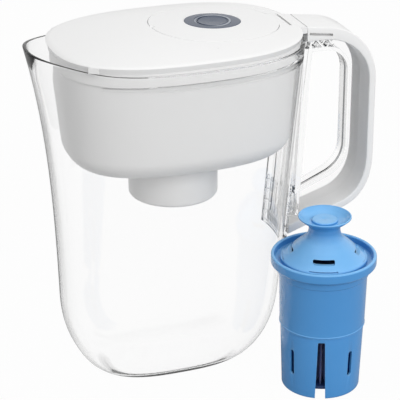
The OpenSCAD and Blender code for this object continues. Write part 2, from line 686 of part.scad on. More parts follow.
module cartridge_housing() {
    color(blue_plastic) beside_jug() rotate_extrude($fn = 96) polygon([
        [seam_r - cart_wall, seam_z], [seam_r - 0.3, seam_z], [seam_r, seam_z + 0.5],
        [shoulder_r, shoulder_z], [shoulder_r + 1, shoulder_z + 0.8], [shoulder_r + 1.4, dish_z - 5],
        [cart_rim_r - 3, dish_z - 3.2], [cart_rim_r - 0.8, dish_z - 2], [cart_rim_r, dish_z - 1],
        [cart_rim_r, cart_top_z - 0.9],
        [cart_rim_r - 0.8, cart_top_z], [cart_rim_r - 1.5, cart_top_z], [cart_rim_r - 2.1, cart_top_z - 0.8],
        [cart_rim_r - 2.6, dish_z + 1], [cart_rim_r - 3.4, dish_z], [shoulder_r - cart_wall, dish_z],
        [shoulder_r - cart_wall, shoulder_z]]);
}
module basket_slots() {
    wide_w = 5.2;                    // wide slots, open at the bottom, where they are broader by wide_more
    wide_more = 2.6;
    wide_h = seam_z - 3.4;
    thin_w = 3;                      // narrow slot between two wide ones
    thin_h = 21;
    thin_low_z = seam_z - 14.6 - thin_h;
    slot_in = core_r + 3;
    for (a = [0 : 90 : 270]) rotate([0, 0, a]) {
        translate([0, -slot_in, 0]) rotate([90, 0, 0]) linear_extrude(shoulder_r) polygon([
            [-(wide_w + wide_more) / 2, -1], [(wide_w + wide_more) / 2, -1], [wide_w / 2, wide_h], [-wide_w / 2, wide_h]]);
        rotate([0, 0, 45]) translate([0, -slot_in, thin_low_z]) rotate([90, 0, 0]) linear_extrude(shoulder_r) union() {
            translate([-thin_w / 2, thin_w / 2]) square([thin_w, thin_h - thin_w]);
            for (z = [thin_w / 2, thin_h - thin_w / 2]) translate([0, z]) circle(r = thin_w / 2, $fn = 32);
        }
    }
}
module cartridge_basket() {
    color(blue_plastic) beside_jug() difference() {
        rotate_extrude($fn = 96) polygon([
            [basket_r - cart_wall - 0.6, 0], [basket_r - 1.2, 0], [basket_r - 0.3, 0.5], [basket_r, 1.6],
            [seam_r - seam_step, seam_z - seat], [seam_r - cart_wall - seam_step, seam_z - seat],
            [basket_r - cart_wall, 2]]);
        basket_slots();
    }
}
module cartridge_cap() {
    neck_r = knob_r - 8.2;
    knob_z = shoulder_z + knob_h;
    knob_lip = 9;                    // depth of the knob's flare
    neck_z = knob_z - knob_lip;
    dome_z = dish_z + seat;
    dome_r = cart_rim_r - 7;
    dome_foot_h = 2.4;               // height of the ring at the dome's foot
    dome_t = 2;                      // wall of the dome
    top_r = dome_r - 1.4;
    rise = neck_z - dome_z - dome_foot_h;
    curl = 2.2;                      // how late the dome turns up into the neck
    disc_r = knob_r / 2 - 0.3;       // button in the middle of the knob's dish
    outside = concat(
        [[dome_r, dome_z], [dome_r, dome_z + 1.4], [top_r, dome_z + dome_foot_h]],
        [for (i = [1 : 9]) let (f = i / 9) [top_r - (top_r - neck_r) * f, dome_z + dome_foot_h + rise * pow(f, curl)]],
        [[neck_r, neck_z + 1], [neck_r + 1.6, neck_z + 3.4], [knob_r - 1.6, knob_z - 3.4], [knob_r, knob_z - 1],
         [knob_r - 0.2, knob_z - 0.2], [knob_r - 0.9, knob_z]]);
    dish = [[knob_r - 1.9, knob_z - 1], [knob_r - 7.6, knob_z - 4.6], [disc_r + 0.7, knob_z - 5.2],
            [disc_r, knob_z - 3.4], [disc_r - 1, knob_z - 2.8], [0, knob_z - 2.8]];
    inside = concat(
        [[0, neck_z - 4], [neck_r - 3, neck_z - 4]],
        [for (i = [8 : -1 : 1]) let (f = i / 9)
            [top_r - dome_t - (top_r - neck_r) * f, dome_z + 0.3 + (rise - 0.2) * pow(f, curl)]],
        [[dome_r - 4, dome_z]]);
    slot_at = 22;                    // inlet slots in the dome, and slits under the ring at its foot
    slot_w = 15.4;
    slot_t = 3;
    slit_w = 21;
    slit_h = 1.1;
    color(blue_plastic) beside_jug() difference() {
        rotate_extrude($fn = 96) polygon(concat(outside, dish, inside));
        for (a = [0 : 90 : 270]) rotate([0, 0, a]) {
            translate([-slot_w / 2, -slot_at - slot_t, dome_z + dome_foot_h - 2]) cube([slot_w, slot_t, rise]);
            translate([-slit_w / 2, -dome_r - 1, dome_z - 1]) cube([slit_w, 7, 1 + slit_h]);
        }
    }
}
module pleated_filter() {
    color("white") beside_jug() translate([0, 0, media_low_z]) linear_extrude(media_top_z - media_low_z)
        difference() {
            polygon([for (i = [0 : 2 * pleats - 1]) let (r = i % 2 == 0 ? media_r : core_r + 5, a = 180 * i / pleats)
                [r * cos(a), r * sin(a)]]);
            polygon([for (i = [0 : 2 * pleats - 1]) let (r = i % 2 == 0 ? media_r - 2.4 : core_r + 1, a = 180 * i / pleats)
                [r * cos(a), r * sin(a)]]);
        }
}
module core_tube() {
    window_w = 3;
    window_h = (media_top_z - media_low_z) / 10;
    color("whitesmoke") beside_jug() difference() {
        translate([0, 0, media_low_z]) cylinder(r = core_r, h = media_top_z - media_low_z, $fn = 64);
        translate([0, 0, media_low_z - 1]) cylinder(r = core_r - 1.4, h = media_top_z, $fn = 64);
        for (k = [0 : 4], a = [0, 60, 120]) rotate([0, 0, a + 20 * k])
            translate([-core_r - 1, -window_w / 2, media_low_z + window_h * (1 + 1.75 * k)])
                cube([2 * core_r + 2, window_w, window_h]);
    }
}
module upper_end_cap() {
    color("steelblue") beside_jug() translate([0, 0, media_top_z + seat]) difference() {
        cylinder(r = shoulder_r - cart_wall - fit, h = cap_t, $fn = 96);
        translate([0, 0, -1]) cylinder(r = core_r - 1.4, h = cap_t + 2, $fn = 64);
        for (a = [0 : 45 : 315]) rotate([0, 0, a]) translate([media_r + 0.5, -3, -1]) cube([3.5, 6, cap_t + 2]);
    }
}
module lower_end_cap() {
    color("steelblue") beside_jug() translate([0, 0, media_low_z - seat - cap_t]) difference() {
        cylinder(r = basket_r - cart_wall - seat, h = cap_t, $fn = 96);
        translate([0, 0, -1]) cylinder(r = core_r - 1.4, h = cap_t + 2, $fn = 64);
    }
}

jug_body();
handle_frame();
handle_cover();
tank();
lid();
flip_door();
indicator_housing();
light_ring();
circuit_board();
dome_switch();
status_leds();
battery_clip();
coin_cell();
back_seal();
back_cover();
cover_screws();
reset_button();
cartridge_housing();
cartridge_basket();
cartridge_cap();
pleated_filter();
core_tube();
upper_end_cap();
lower_end_cap();
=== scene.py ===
"""Dresses the water filter pitcher: smooth moulded shells, worked plastics and a plain pale studio."""

import math

import bmesh
import bpy
from mathutils import Matrix, Vector


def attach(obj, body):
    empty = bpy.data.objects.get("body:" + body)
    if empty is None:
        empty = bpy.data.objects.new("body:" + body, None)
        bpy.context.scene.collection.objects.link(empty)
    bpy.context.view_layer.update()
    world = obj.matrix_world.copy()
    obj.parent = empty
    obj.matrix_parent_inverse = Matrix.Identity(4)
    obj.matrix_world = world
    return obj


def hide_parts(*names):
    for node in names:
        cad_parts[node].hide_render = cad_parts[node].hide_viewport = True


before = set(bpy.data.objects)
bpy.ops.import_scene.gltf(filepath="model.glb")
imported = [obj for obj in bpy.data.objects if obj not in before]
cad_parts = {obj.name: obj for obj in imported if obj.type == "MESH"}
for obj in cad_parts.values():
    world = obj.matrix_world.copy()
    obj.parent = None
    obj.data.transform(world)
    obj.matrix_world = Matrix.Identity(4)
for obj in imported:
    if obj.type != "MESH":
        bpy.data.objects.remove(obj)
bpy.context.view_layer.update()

MM = 0.001
AROUND = 256  # points round every oval ring
SEAT = 0.1  # gap between fixed pieces of one assembly
FIT = 0.3  # gap between pieces that lift off each other
PIN_FIT = 0.05  # running clearance of the hinge pins, the button and the light ring
CREASE = 32  # degrees; a sharper turn than this stays a crease

# ---- the pitcher's own sizes in millimetres, as in the part's source ----
JUG_H = 262
JUG_TOP = (189, 138.8)
JUG_LOW = (161.4, 102.4)
FOOT_ROUND_H = 62
FOOT_INSET = (45.5, 28)
JUG_WALL = 2.4
JUG_FLOOR = 4.5
SPOUT_REACH = 19
SPOUT_RISE = 8
RISE_PINCH = 6
LEDGE_W = 2.6
LEDGE_LEAST = 0.6  # share of the ledge that is left beside the spout
SPOUT_FROM = -0.72  # cosine of the turn where the spout takes the ledge away
RIM_Z = 258
FLANGE_Z = 250
TANK_Z = 172.5
LID_EDGE_Z = 265
LEAN = (-7.8, 1.7)  # middle in X at the floor and at the top
SQUARE = (2.84, 2.54)  # power of the oval at the floor and at the top
FOOT_SQUARE = 2.33
SPOUT_CURL = 3.2
SPOUT_PINCH = 8

TANK_WALL = 2
TANK_FLOOR = 2.5
TANK_TAPER = 5
TANK_LEAN = 2.4
TANK_ROUND = 17
TANK_REACH = 1.8
TANK_GAP = 0.75
CUP_X = -2
CUP_DEPTH = 31.5
CUP_BORE_R = 32.4
CUP_WALL = 1.2

LID_HALF = (93.5, 67.6)
LID_SQUARE = 2.61
LID_LOW_Z = 258.3
LID_CROWN = 7.5
LID_ARCH = 2.2  # power of the crown's arch
LID_STEP = 0.2  # the crown's foot above the lid's edge
LID_EDGE_FROM = 0.96  # share of the way out where the edge starts to round over
LID_EDGE_DROP = 0.8
LID_WALL = 2.2
LID_SIDE_IN = 2.2
LID_PLUG = 6
DOOR_HALF = (48.5, 42)
DOOR_X = 30.5
DOOR_SQUARE = 2.1
DOOR_GAP = 0.4
DOOR_SEAT_Z = 262.9
DOOR_LEAN = 2.4
DOOR_WALL = 2.2
SILL_T = 2
SILL_W = 4.4
HINGE_X = 84
HINGE_Z = 264.5
HINGE_HALF = 14
BARREL_R = 2.2
HINGE_PIN_R = 1.2
PIN_L = 3
HINGE_BLOCK = (10, 6.5)  # how far the hinge's block reaches to either side of its pins
POCKET_IN = 8
POCKET_OUT = 3.1
EAR_W = 4
TONGUE_HALF = 17
STOP_TURN = 140
STOP_W = 7.5
STOP_LEAN = 54

IND_HALF = (21.25, 18.3)
IND_X = 29.5
RING_SEAT_Z = 267.4
WELL_R = 17.6
WELL_WALL = 3
WELL_LOW_Z = 254.8
BUTTON_R = 11
LENS_IN = 12.1
LENS_OUT = 13.5
LENS_T = 1.2

STRAP_TOP_Z = 264.2
STRAP_X = 98.6
STRAP_T = 5
STRAP_DEEP = 11.5
STRAP_HALF = 17
STRAP_CORNER_X = 112
STRAP_BEND = 44
STRAP_END_Z = 97.5
STRAP_END_H = 7

CART_PLACE = 43  # degrees round the jug, from the handle towards the near side
CART_TURN = -24  # degrees, about its own upright axis
CART_GAP = 1.8
CART_RIM_R = 39.4
CART_TOP_Z = 108
CART_SHOULDER_R = 33
CART_SHOULDER_Z = 92.5
CART_SEAM_Z = 52
CART_BASE_R = 29.6
CART_WALL = 1.8
KNOB_R = 19.8
KNOB_Z = 138.5
SLOT_TURN = 0.3  # degrees that the slots stand off the lathe's own corners
LATHE_ROUND = 192  # points round the cartridge's turned pieces

# ---- the studio, in metres and watts ----
CAMERA_PLACE = (-0.4205, -1.2020, 0.6962)
CAMERA_AIM = (0.01988, 0, 0.12948)
CAMERA_LENS = 165.2
FLOOR_HALF = 4
FLOOR_DROP = 0.0002
FLOOR_GLOW = 0.97
GAP_LEVEL = 0.5  # the room's darker gaps overhead, as a mirror sees them
WORLD_LEVELS = (0.5, 0.93)  # the room's light from the side and from above
KEY_WATTS = 26.5
TOP_WATTS = 2


# ---- camera ----
def add_to_scene(name, data):
    thing = bpy.data.objects.new(name, data)
    bpy.context.scene.collection.objects.link(thing)
    return thing


def facing(place, aim):
    """The turn that points a camera or a lamp from a place at its aim."""
    return (Vector(aim) - Vector(place)).to_track_quat("-Z", "Y").to_euler()


def place_camera():
    camera = add_to_scene("camera", bpy.data.cameras.new("camera"))
    camera.location = CAMERA_PLACE
    camera.rotation_euler = facing(CAMERA_PLACE, CAMERA_AIM)
    camera.data.sensor_width = 36
    camera.data.lens = CAMERA_LENS
    camera.data.clip_start = 0.01
    bpy.context.scene.camera = camera


# ---- outlines ----
def spow(value, power):
    """A power that keeps the value's sign."""
    return math.copysign(abs(value) ** power, value)


def mix(low, high, share):
    return low + (high - low) * share


def turns(around=AROUND):
    return [2 * math.pi * k / around for k in range(around)]


def quarter(count):
    return [math.pi / 2 * k / count for k in range(count + 1)]


def oval(half_l, half_w, square, middle=0.0):
    """A closed oval, round where square is 2 and boxier as it rises, with its middle moved along X."""
    return [
        (middle + half_l * spow(math.cos(t), 2 / square), half_w * spow(math.sin(t), 2 / square))
        for t in turns()
    ]


def lift(outline, z):
    """An outline at one height, or at the height that z gives for each of its points."""
    return [(x, y, z(x, y) if callable(z) else z) for x, y in outline]


def between(first, last, share):
    return [(mix(a[0], b[0], share), mix(a[1], b[1], share)) for a, b in zip(first, last)]


# ---- meshes ----
def new_piece(name, points, faces):
    mesh = bpy.data.meshes.new(name)
    mesh.from_pydata([tuple(v * MM for v in p) for p in points], [], faces)
    mesh.validate()
    return add_to_scene(name, mesh)


def rings_mesh(name, rings, closed=False):
    """A skin through rings of equal count: a hollow collar where closed, capped at each end where open."""
    count = len(rings[0])
    points = [p for ring in rings for p in ring]
    faces = []
    for k in range(len(rings) if closed else len(rings) - 1):
        a, b = k * count, (k + 1) % len(rings) * count
        for i in range(count):
            j = (i + 1) % count
            faces.append((a + i, a + j, b + j, b + i))
    if not closed:
        last = (len(rings) - 1) * count
        faces.append(tuple(reversed(range(count))))
        faces.append(tuple(range(last, last + count)))
    return new_piece(name, points, faces)


def lathe(name, profile, middle=(0.0, 0.0), around=128, closed=True):
    """A turned form from a profile of (radius, height), drawn counter-clockwise with the axis on its left."""
    rings = [
        [(middle[0] + r * math.cos(a), middle[1] + r * math.sin(a), z) for a in turns(around)]
        for r, z in profile
    ]
    return rings_mesh(name, rings, closed)


def block(name, low, high, place=(0, 0, 0), turn=0.0):
    """A plain cutter or filler between two corners, turned about the vertical through place."""
    points = []
    for z in (low[2], high[2]):
        for x, y in ((low[0], low[1]), (high[0], low[1]), (high[0], high[1]), (low[0], high[1])):
            c, s = math.cos(turn), math.sin(turn)
            points.append((place[0] + x * c - y * s, place[1] + x * s + y * c, place[2] + z))
    faces = [(3, 2, 1, 0), (4, 5, 6, 7), (0, 1, 5, 4), (1, 2, 6, 5), (2, 3, 7, 6), (3, 0, 4, 7)]
    return new_piece(name, points, faces)


def face_outwards(piece):
    work = bmesh.new()
    work.from_mesh(piece.data)
    bmesh.ops.recalc_face_normals(work, faces=work.faces)
    work.to_mesh(piece.data)
    work.free()


def prism(name, points):
    """A solid between two matching outlines, the second of which follows the first in the list."""
    count = len(points) // 2
    faces = [tuple(range(count)), tuple(reversed(range(count, 2 * count)))]
    faces += [(i, i + count, (i + 1) % count + count, (i + 1) % count) for i in range(count)]
    piece = new_piece(name, points, faces)
    face_outwards(piece)
    return piece


def prism_across(name, outline, low, high):
    """A flat outline in X and Z, drawn along Y."""
    return prism(name, [(x, y, z) for y in (low, high) for x, z in outline])


def rod_across(name, x, z, radius, low, high, around=48):
    outline = [(x + radius * math.cos(a), z + radius * math.sin(a)) for a in turns(around)]
    return prism_across(name, outline, low, high)


def ball(name, middle, radius, around=64):
    work = bmesh.new()
    bmesh.ops.create_uvsphere(work, u_segments=around, v_segments=around // 2, radius=radius * MM)
    bmesh.ops.translate(work, verts=work.verts, vec=Vector(middle) * MM)
    mesh = bpy.data.meshes.new(name)
    work.to_mesh(mesh)
    work.free()
    return add_to_scene(name, mesh)


def apply_steps(piece):
    """Works the piece's modifiers into its mesh."""
    bpy.context.view_layer.update()
    old, graph = piece.data, bpy.context.evaluated_depsgraph_get()
    piece.data = bpy.data.meshes.new_from_object(piece.evaluated_get(graph))
    piece.modifiers.clear()
    bpy.data.meshes.remove(old)


def shape_with(piece, how, *tools):
    """Joins the tools to the piece or cuts them from it, and clears them away."""
    for tool in tools:
        step = piece.modifiers.new("step", "BOOLEAN")
        step.operation = how
        step.solver = "EXACT"
        step.object = tool
    apply_steps(piece)
    for tool in tools:
        bpy.data.meshes.remove(tool.data)


def join(piece, *tools):
    shape_with(piece, "UNION", *tools)


def cut(piece, *tools):
    shape_with(piece, "DIFFERENCE", *tools)


def finish_piece(piece, body, material, stands_for):
    """Smooths the piece up to its creases, gives it its material, hangs it on the body that it rides on and
    hides the imported part that it stands for.
    """
    piece.data.polygons.foreach_set("use_smooth", [True] * len(piece.data.polygons))
    piece.data.set_sharp_from_angle(angle=math.radians(CREASE))
    piece.data.materials.clear()
    piece.data.materials.append(material)
    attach(piece, body)
    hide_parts(stands_for)


# ---- shader node groups ----
class Wiring:
    """Short hand for adding and linking nodes in one node tree."""

    def __init__(self, tree):
        self.tree = tree
        self.place = None

    def add(self, kind, values=None, **settings):
        node = self.tree.nodes.new(kind)
        for key, value in settings.items():
            setattr(node, key, value)
        for key, value in (values or {}).items():
            node.inputs[key].default_value = value
        return node

    def link(self, source, target):
        self.tree.links.new(source, target)

    def feed(self, value, socket):
        """Links a socket's value to another socket, or sets it there where it is a plain one."""
        if isinstance(value, bpy.types.NodeSocket):
            self.link(value, socket)
        else:
            socket.default_value = value

    def texture(self, kind, values=None):
        """A texture placed by the piece's own coordinates."""
        self.place = self.place or self.add("ShaderNodeTexCoord")
        node = self.add(kind, values)
        self.link(self.place.outputs["Object"], node.inputs["Vector"])
        return node

    def axes(self, source):
        """The X, Y and Z of a direction or a place."""
        node = self.add("ShaderNodeSeparateXYZ")
        self.link(source, node.inputs[0])
        return node.outputs

    def math(self, operation, *values):
        node = self.add("ShaderNodeMath", operation=operation)
        for socket, value in zip(node.inputs, values):
            self.feed(value, socket)
        return node.outputs[0]

    def blend(self, mask, first, second):
        """The first colour, with the second over it where the mask is."""
        node = self.add("ShaderNodeMix", data_type="RGBA")
        self.link(mask, node.inputs[0])
        for socket, colour in ((node.inputs[6], first), (node.inputs[7], second)):
            self.feed((*colour, 1) if isinstance(colour, tuple) else colour, socket)
        return node.outputs[2]

    def choose(self, share, first, second):
        """The first number, or the second where the share is 1."""
        node = self.add("ShaderNodeMix", data_type="FLOAT")
        for socket, value in zip(node.inputs[0:1] + node.inputs[2:4], (share, first, second)):
            self.feed(value, socket)
        return node.outputs[0]

    def show(self, share, first, second):
        """Sends two shaders, mixed by the share, to the material's output."""
        mixed = self.add("ShaderNodeMixShader")
        for source, socket in zip((share, first.outputs[0], second.outputs[0]), mixed.inputs):
            self.link(source, socket)
        out = next(n for n in self.tree.nodes if n.type == "OUTPUT_MATERIAL")
        self.link(mixed.outputs[0], out.inputs["Surface"])

    def remap(self, value, low, high, to_low=0.0, to_high=1.0):
        node = self.add("ShaderNodeMapRange", {1: low, 2: high, 3: to_low, 4: to_high})
        self.link(value, node.inputs[0])
        return node.outputs[0]


def new_group(name, inputs, outputs):
    """A shader node group with float inputs (name, default) and outputs (name, kind)."""
    group = bpy.data.node_groups.new(name, "ShaderNodeTree")
    for label, value in inputs:
        socket = group.interface.new_socket(name=label, in_out="INPUT", socket_type="NodeSocketFloat")
        socket.default_value = value
    for label, kind in outputs:
        group.interface.new_socket(name=label, in_out="OUTPUT", socket_type=kind)
    wiring = Wiring(group)
    return group, wiring, wiring.add("NodeGroupInput"), wiring.add("NodeGroupOutput")


def moulded_skin_group():
    """A moulded part's skin: tool grain and long faint sink waves as a height, and a soft cloud as a mask."""
    group, w, given, out = new_group(
        "moulded_skin",
        [("Grain Scale", 3500.0), ("Wave Scale", 45.0), ("Grain Share", 0.35)],
        [("Height", "NodeSocketFloat"), ("Cloud", "NodeSocketFloat")],
    )
    grain = w.texture("ShaderNodeTexNoise", {"Detail": 3.0, "Roughness": 0.6})
    wave = w.texture("ShaderNodeTexNoise", {"Detail": 1.0, "Roughness": 0.4})
    cloud = w.texture("ShaderNodeTexNoise", {"Scale": 22.0, "Detail": 4.0, "Roughness": 0.55})
    w.link(given.outputs["Grain Scale"], grain.inputs["Scale"])
    w.link(given.outputs["Wave Scale"], wave.inputs["Scale"])
    fine = w.math("MULTIPLY", grain.outputs["Fac"], given.outputs["Grain Share"])
    w.link(w.math("ADD", fine, wave.outputs["Fac"]), out.inputs["Height"])
    w.link(w.remap(cloud.outputs["Fac"], 0.3, 0.7), out.inputs["Cloud"])
    return group


def edge_wear_and_light_group():
    """Where an edge is turned out, as a mask: for rubbed wear and painted highlights along the edges of
    opaque plastic, and for painted dark edges on clear plastic.
    """
    group, w, given, out = new_group(
        "edge_wear_and_light",
        [("Radius", 0.0006), ("Patch Scale", 160.0)],
        [("Mask", "NodeSocketFloat")],
    )
    flat = w.add("ShaderNodeNewGeometry")
    rounded = w.add("ShaderNodeBevel", samples=4)
    w.link(given.outputs["Radius"], rounded.inputs["Radius"])
    likeness = w.add("ShaderNodeVectorMath", operation="DOT_PRODUCT")
    w.link(flat.outputs["Normal"], likeness.inputs[0])
    w.link(rounded.outputs["Normal"], likeness.inputs[1])
    edge = w.remap(likeness.outputs["Value"], 0.985, 0.8)
    patch = w.texture("ShaderNodeTexNoise", {"Detail": 3.0})
    w.link(given.outputs["Patch Scale"], patch.inputs["Scale"])
    w.link(w.math("MULTIPLY", edge, w.remap(patch.outputs["Fac"], 0.4, 0.62)), out.inputs["Mask"])
    return group


def settled_dust_group():
    """Fine dust that settles on faces turned up, as a mask."""
    group, w, given, out = new_group(
        "settled_dust",
        [("Scale", 900.0), ("Amount", 0.25)],
        [("Mask", "NodeSocketFloat")],
    )
    facing_way = w.axes(w.add("ShaderNodeNewGeometry").outputs["Normal"])
    speck = w.texture("ShaderNodeTexNoise", {"Detail": 5.0, "Roughness": 0.7})
    w.link(given.outputs["Scale"], speck.inputs["Scale"])
    dots = w.math("MULTIPLY", w.remap(facing_way["Z"], 0.3, 1.0), w.remap(speck.outputs["Fac"], 0.55, 0.75))
    w.link(w.math("MULTIPLY", dots, given.outputs["Amount"]), out.inputs["Mask"])
    return group


GROUPS = {}


def shared_effect(w, name, **values):
    """One of the groups, placed in a material with its own values, such as grain_share=0.2."""
    node = w.add("ShaderNodeGroup")
    node.node_tree = GROUPS[name]
    for key, value in values.items():
        node.inputs[key.replace("_", " ").title()].default_value = value
    return node.outputs


# ---- finishes ----
def new_finish(name, **shader_values):
    """A material with its wiring and its shader, whose plain sockets are set here."""
    material = bpy.data.materials.new(name)
    material.use_nodes = True
    w = Wiring(material.node_tree)
    shader = next(n for n in material.node_tree.nodes if n.type == "BSDF_PRINCIPLED")
    for key, value in shader_values.items():
        shader.inputs[key.replace("_", " ").title().replace("Ior", "IOR")].default_value = value
    return material, w, shader


def bump(w, shader, height, distance, strength=1.0):
    node = w.add("ShaderNodeBump", {"Strength": strength, "Distance": distance})
    w.link(height, node.inputs["Height"])
    w.link(node.outputs["Normal"], shader.inputs["Normal"])


def cover(w, shader, colour, mask, smooth, rough, low=0.0, high=1.0):
    """Gives a shader its colour, and a roughness that goes from smooth to rough with a mask."""
    w.link(colour, shader.inputs["Base Color"])
    w.link(w.remap(mask, low, high, smooth, rough), shader.inputs["Roughness"])


def moulded_finish(name, tones, smooth, rough, grain=0.35, depth=0.00003, **shader_values):
    """An opaque moulded plastic: tones are its light and dark clouds and its paler edges, which are rubbed
    wear and also a painted highlight.
    """
    light, dark, rub_and_highlight = tones
    dust_tone, dust_amount, rub_and_highlight_share = (0.62, 0.6, 0.57), 0.12, 0.35
    material, w, shader = new_finish(name, **shader_values)
    skin = shared_effect(w, "moulded_skin", grain_share=grain)
    wear_and_light = shared_effect(w, "edge_wear_and_light")
    dust = shared_effect(w, "settled_dust", amount=dust_amount)
    colour = w.blend(skin["Cloud"], dark, light)
    # Painted highlight: edges turn to the paler rub tone, which stands for light caught on rounded edges as
    # well as rubbed wear.
    colour = w.blend(w.math("MULTIPLY", wear_and_light["Mask"], rub_and_highlight_share), colour, rub_and_highlight)
    colour = w.blend(dust["Mask"], colour, dust_tone)
    cover(w, shader, colour, skin["Cloud"], smooth, rough)
    bump(w, shader, skin["Height"], depth)
    return material


def clear_finish(name, middle, limb, soft_limb, start, edge_shade=0.0, ior=1.49):
    """Clear moulded plastic, which lamps shine through.

    Its colour is painted darker where the wall is seen on edge, a painted reflection of darker
    surroundings: to soft_limb in most places and to limb high up on the spout's side. Where
    edge_shade is given, turned-out edges get painted shade as well.
    """
    limb_reach, lamp_share = 0.24, 0.95
    material, w, shader = new_finish(name, ior=ior, transmission_weight=1.0, specular_ior_level=0.3)
    skin = shared_effect(w, "moulded_skin", grain_share=0.04, wave_scale=30.0)
    place = w.axes(w.add("ShaderNodeTexCoord").outputs["Object"])
    # Painted reflection: the edge colour is darker towards -X and high up, placed by the piece's own
    # coordinates.
    spout_side = w.math("MULTIPLY", w.remap(place["X"], 0.02, -0.07), w.remap(place["Z"], 0.03, 0.2))
    spout_side = w.math("MULTIPLY", spout_side, w.remap(place["Y"], -0.05, -0.005))
    # Painted reflection: the colour darkens where the wall is seen on edge.
    edge_on = w.add("ShaderNodeLayerWeight", {"Blend": 0.5})
    share = w.remap(edge_on.outputs["Facing"], start, start + limb_reach)
    # Painted shade along turned-out edges.
    if edge_shade:
        wear_and_light = shared_effect(w, "edge_wear_and_light", radius=0.0007)
        share = w.math("MAXIMUM", share, w.math("MULTIPLY", wear_and_light["Mask"], edge_shade))
    colour = w.blend(share, grey(middle), w.blend(spout_side, grey(soft_limb), limb))
    cover(w, shader, colour, skin["Cloud"], 0.015, 0.04)
    bump(w, shader, skin["Height"], 0.00001, 0.5)
    ray = w.add("ShaderNodeLightPath").outputs
    lamps = w.add("ShaderNodeBsdfTransparent", {"Color": (*grey(lamp_share), 1)})
    w.show(w.math("MAXIMUM", ray["Is Shadow Ray"], ray["Is Diffuse Ray"]), shader, lamps)
    return material


def metal_finish(name, light, dark, smooth, rough, stretch):
    """A rolled or drawn metal with fine lines along one way."""
    material, w, shader = new_finish(name, metallic=1.0)
    drawn = w.texture("ShaderNodeMapping", {"Scale": stretch})
    lines = w.add("ShaderNodeTexNoise", {"Scale": 900.0, "Detail": 4.0})
    w.link(drawn.outputs["Vector"], lines.inputs["Vector"])
    colour = w.blend(w.remap(lines.outputs["Fac"], 0.35, 0.65), dark, light)
    cover(w, shader, colour, lines.outputs["Fac"], smooth, rough, 0.35, 0.65)
    bump(w, shader, lines.outputs["Fac"], 0.00001)
    return material


def felt_finish():
    """The filter's pleated cloth, matted from fibres, in a deep blue that is painted shade: it stands for a
    dim inside lit only through the blue housing.
    """
    material, w, shader = new_finish("pleated_felt", sheen_weight=0.3)
    fibre = w.texture("ShaderNodeTexNoise", {"Scale": 1800.0, "Detail": 6.0, "Roughness": 0.75})
    lump = w.texture("ShaderNodeTexVoronoi", {"Scale": 700.0})
    # Painted shade: a dark blue that stands for the shaded inside of the blue housing.
    navy, pale_navy = (0.004, 0.1, 0.42), (0.006, 0.13, 0.52)
    colour = w.blend(w.remap(fibre.outputs["Fac"], 0.3, 0.7), navy, pale_navy)
    cover(w, shader, colour, lump.outputs["Distance"], 0.8, 0.95, 0.0, 0.6)
    bump(w, shader, w.math("ADD", fibre.outputs["Fac"], lump.outputs["Distance"]), 0.0001)
    return material


def board_finish():
    """Green solder resist with copper tracks under it."""
    material, w, shader = new_finish("solder_resist")
    tracks = w.texture("ShaderNodeTexBrick", {"Scale": 260.0, "Mortar Size": 0.06})
    speck = w.texture("ShaderNodeTexNoise", {"Scale": 1200.0, "Detail": 2.0})
    resist, over_copper = (0.012, 0.1, 0.04), (0.03, 0.2, 0.08)
    colour = w.blend(tracks.outputs["Fac"], resist, over_copper)
    cover(w, shader, colour, speck.outputs["Fac"], 0.25, 0.45, 0.3, 0.7)
    bump(w, shader, tracks.outputs["Fac"], 0.00005)
    return material


def milky_finish(name, light, dark):
    """A milky plastic of two close tones in clouds."""
    material, w, shader = new_finish(name)
    skin = shared_effect(w, "moulded_skin", grain_share=0.1)
    cover(w, shader, w.blend(skin["Cloud"], dark, light), skin["Cloud"], 0.12, 0.22)
    bump(w, shader, skin["Height"], 0.00001)
    return material


def filter_finish():
    """The filter's blue plastic: deeper on its sides, with painted light that makes it paler where a face is
    turned up, and painted highlights along its edges.
    """
    deep, cloudy = (0.064, 0.275, 0.62), (0.07, 0.29, 0.64)
    # The pale tone is painted light from above, and the rub tone is a painted edge highlight.
    painted_top_light, rub_and_highlight, rub_and_highlight_share = (0.2, 0.5, 0.86), (0.36, 0.66, 0.94), 0.55
    material, w, shader = new_finish("sky_blue_plastic")
    skin = shared_effect(w, "moulded_skin", grain_share=0.2, wave_scale=25.0)
    wear_and_light = shared_effect(w, "edge_wear_and_light", radius=0.0008)
    facing_way = w.axes(w.add("ShaderNodeNewGeometry").outputs["Normal"])
    colour = w.blend(skin["Cloud"], deep, cloudy)
    # Painted light: faces turned up are paler, as if lit from above.
    colour = w.blend(w.remap(facing_way["Z"], 0.1, 0.85), colour, painted_top_light)
    # Painted highlight: bright lines along the edges.
    colour = w.blend(w.math("MULTIPLY", wear_and_light["Mask"], rub_and_highlight_share), colour, rub_and_highlight)
    cover(w, shader, colour, skin["Cloud"], 0.15, 0.21)
    bump(w, shader, skin["Height"], 0.00001)
    return material


def grey(level):
    return (level, level, level)


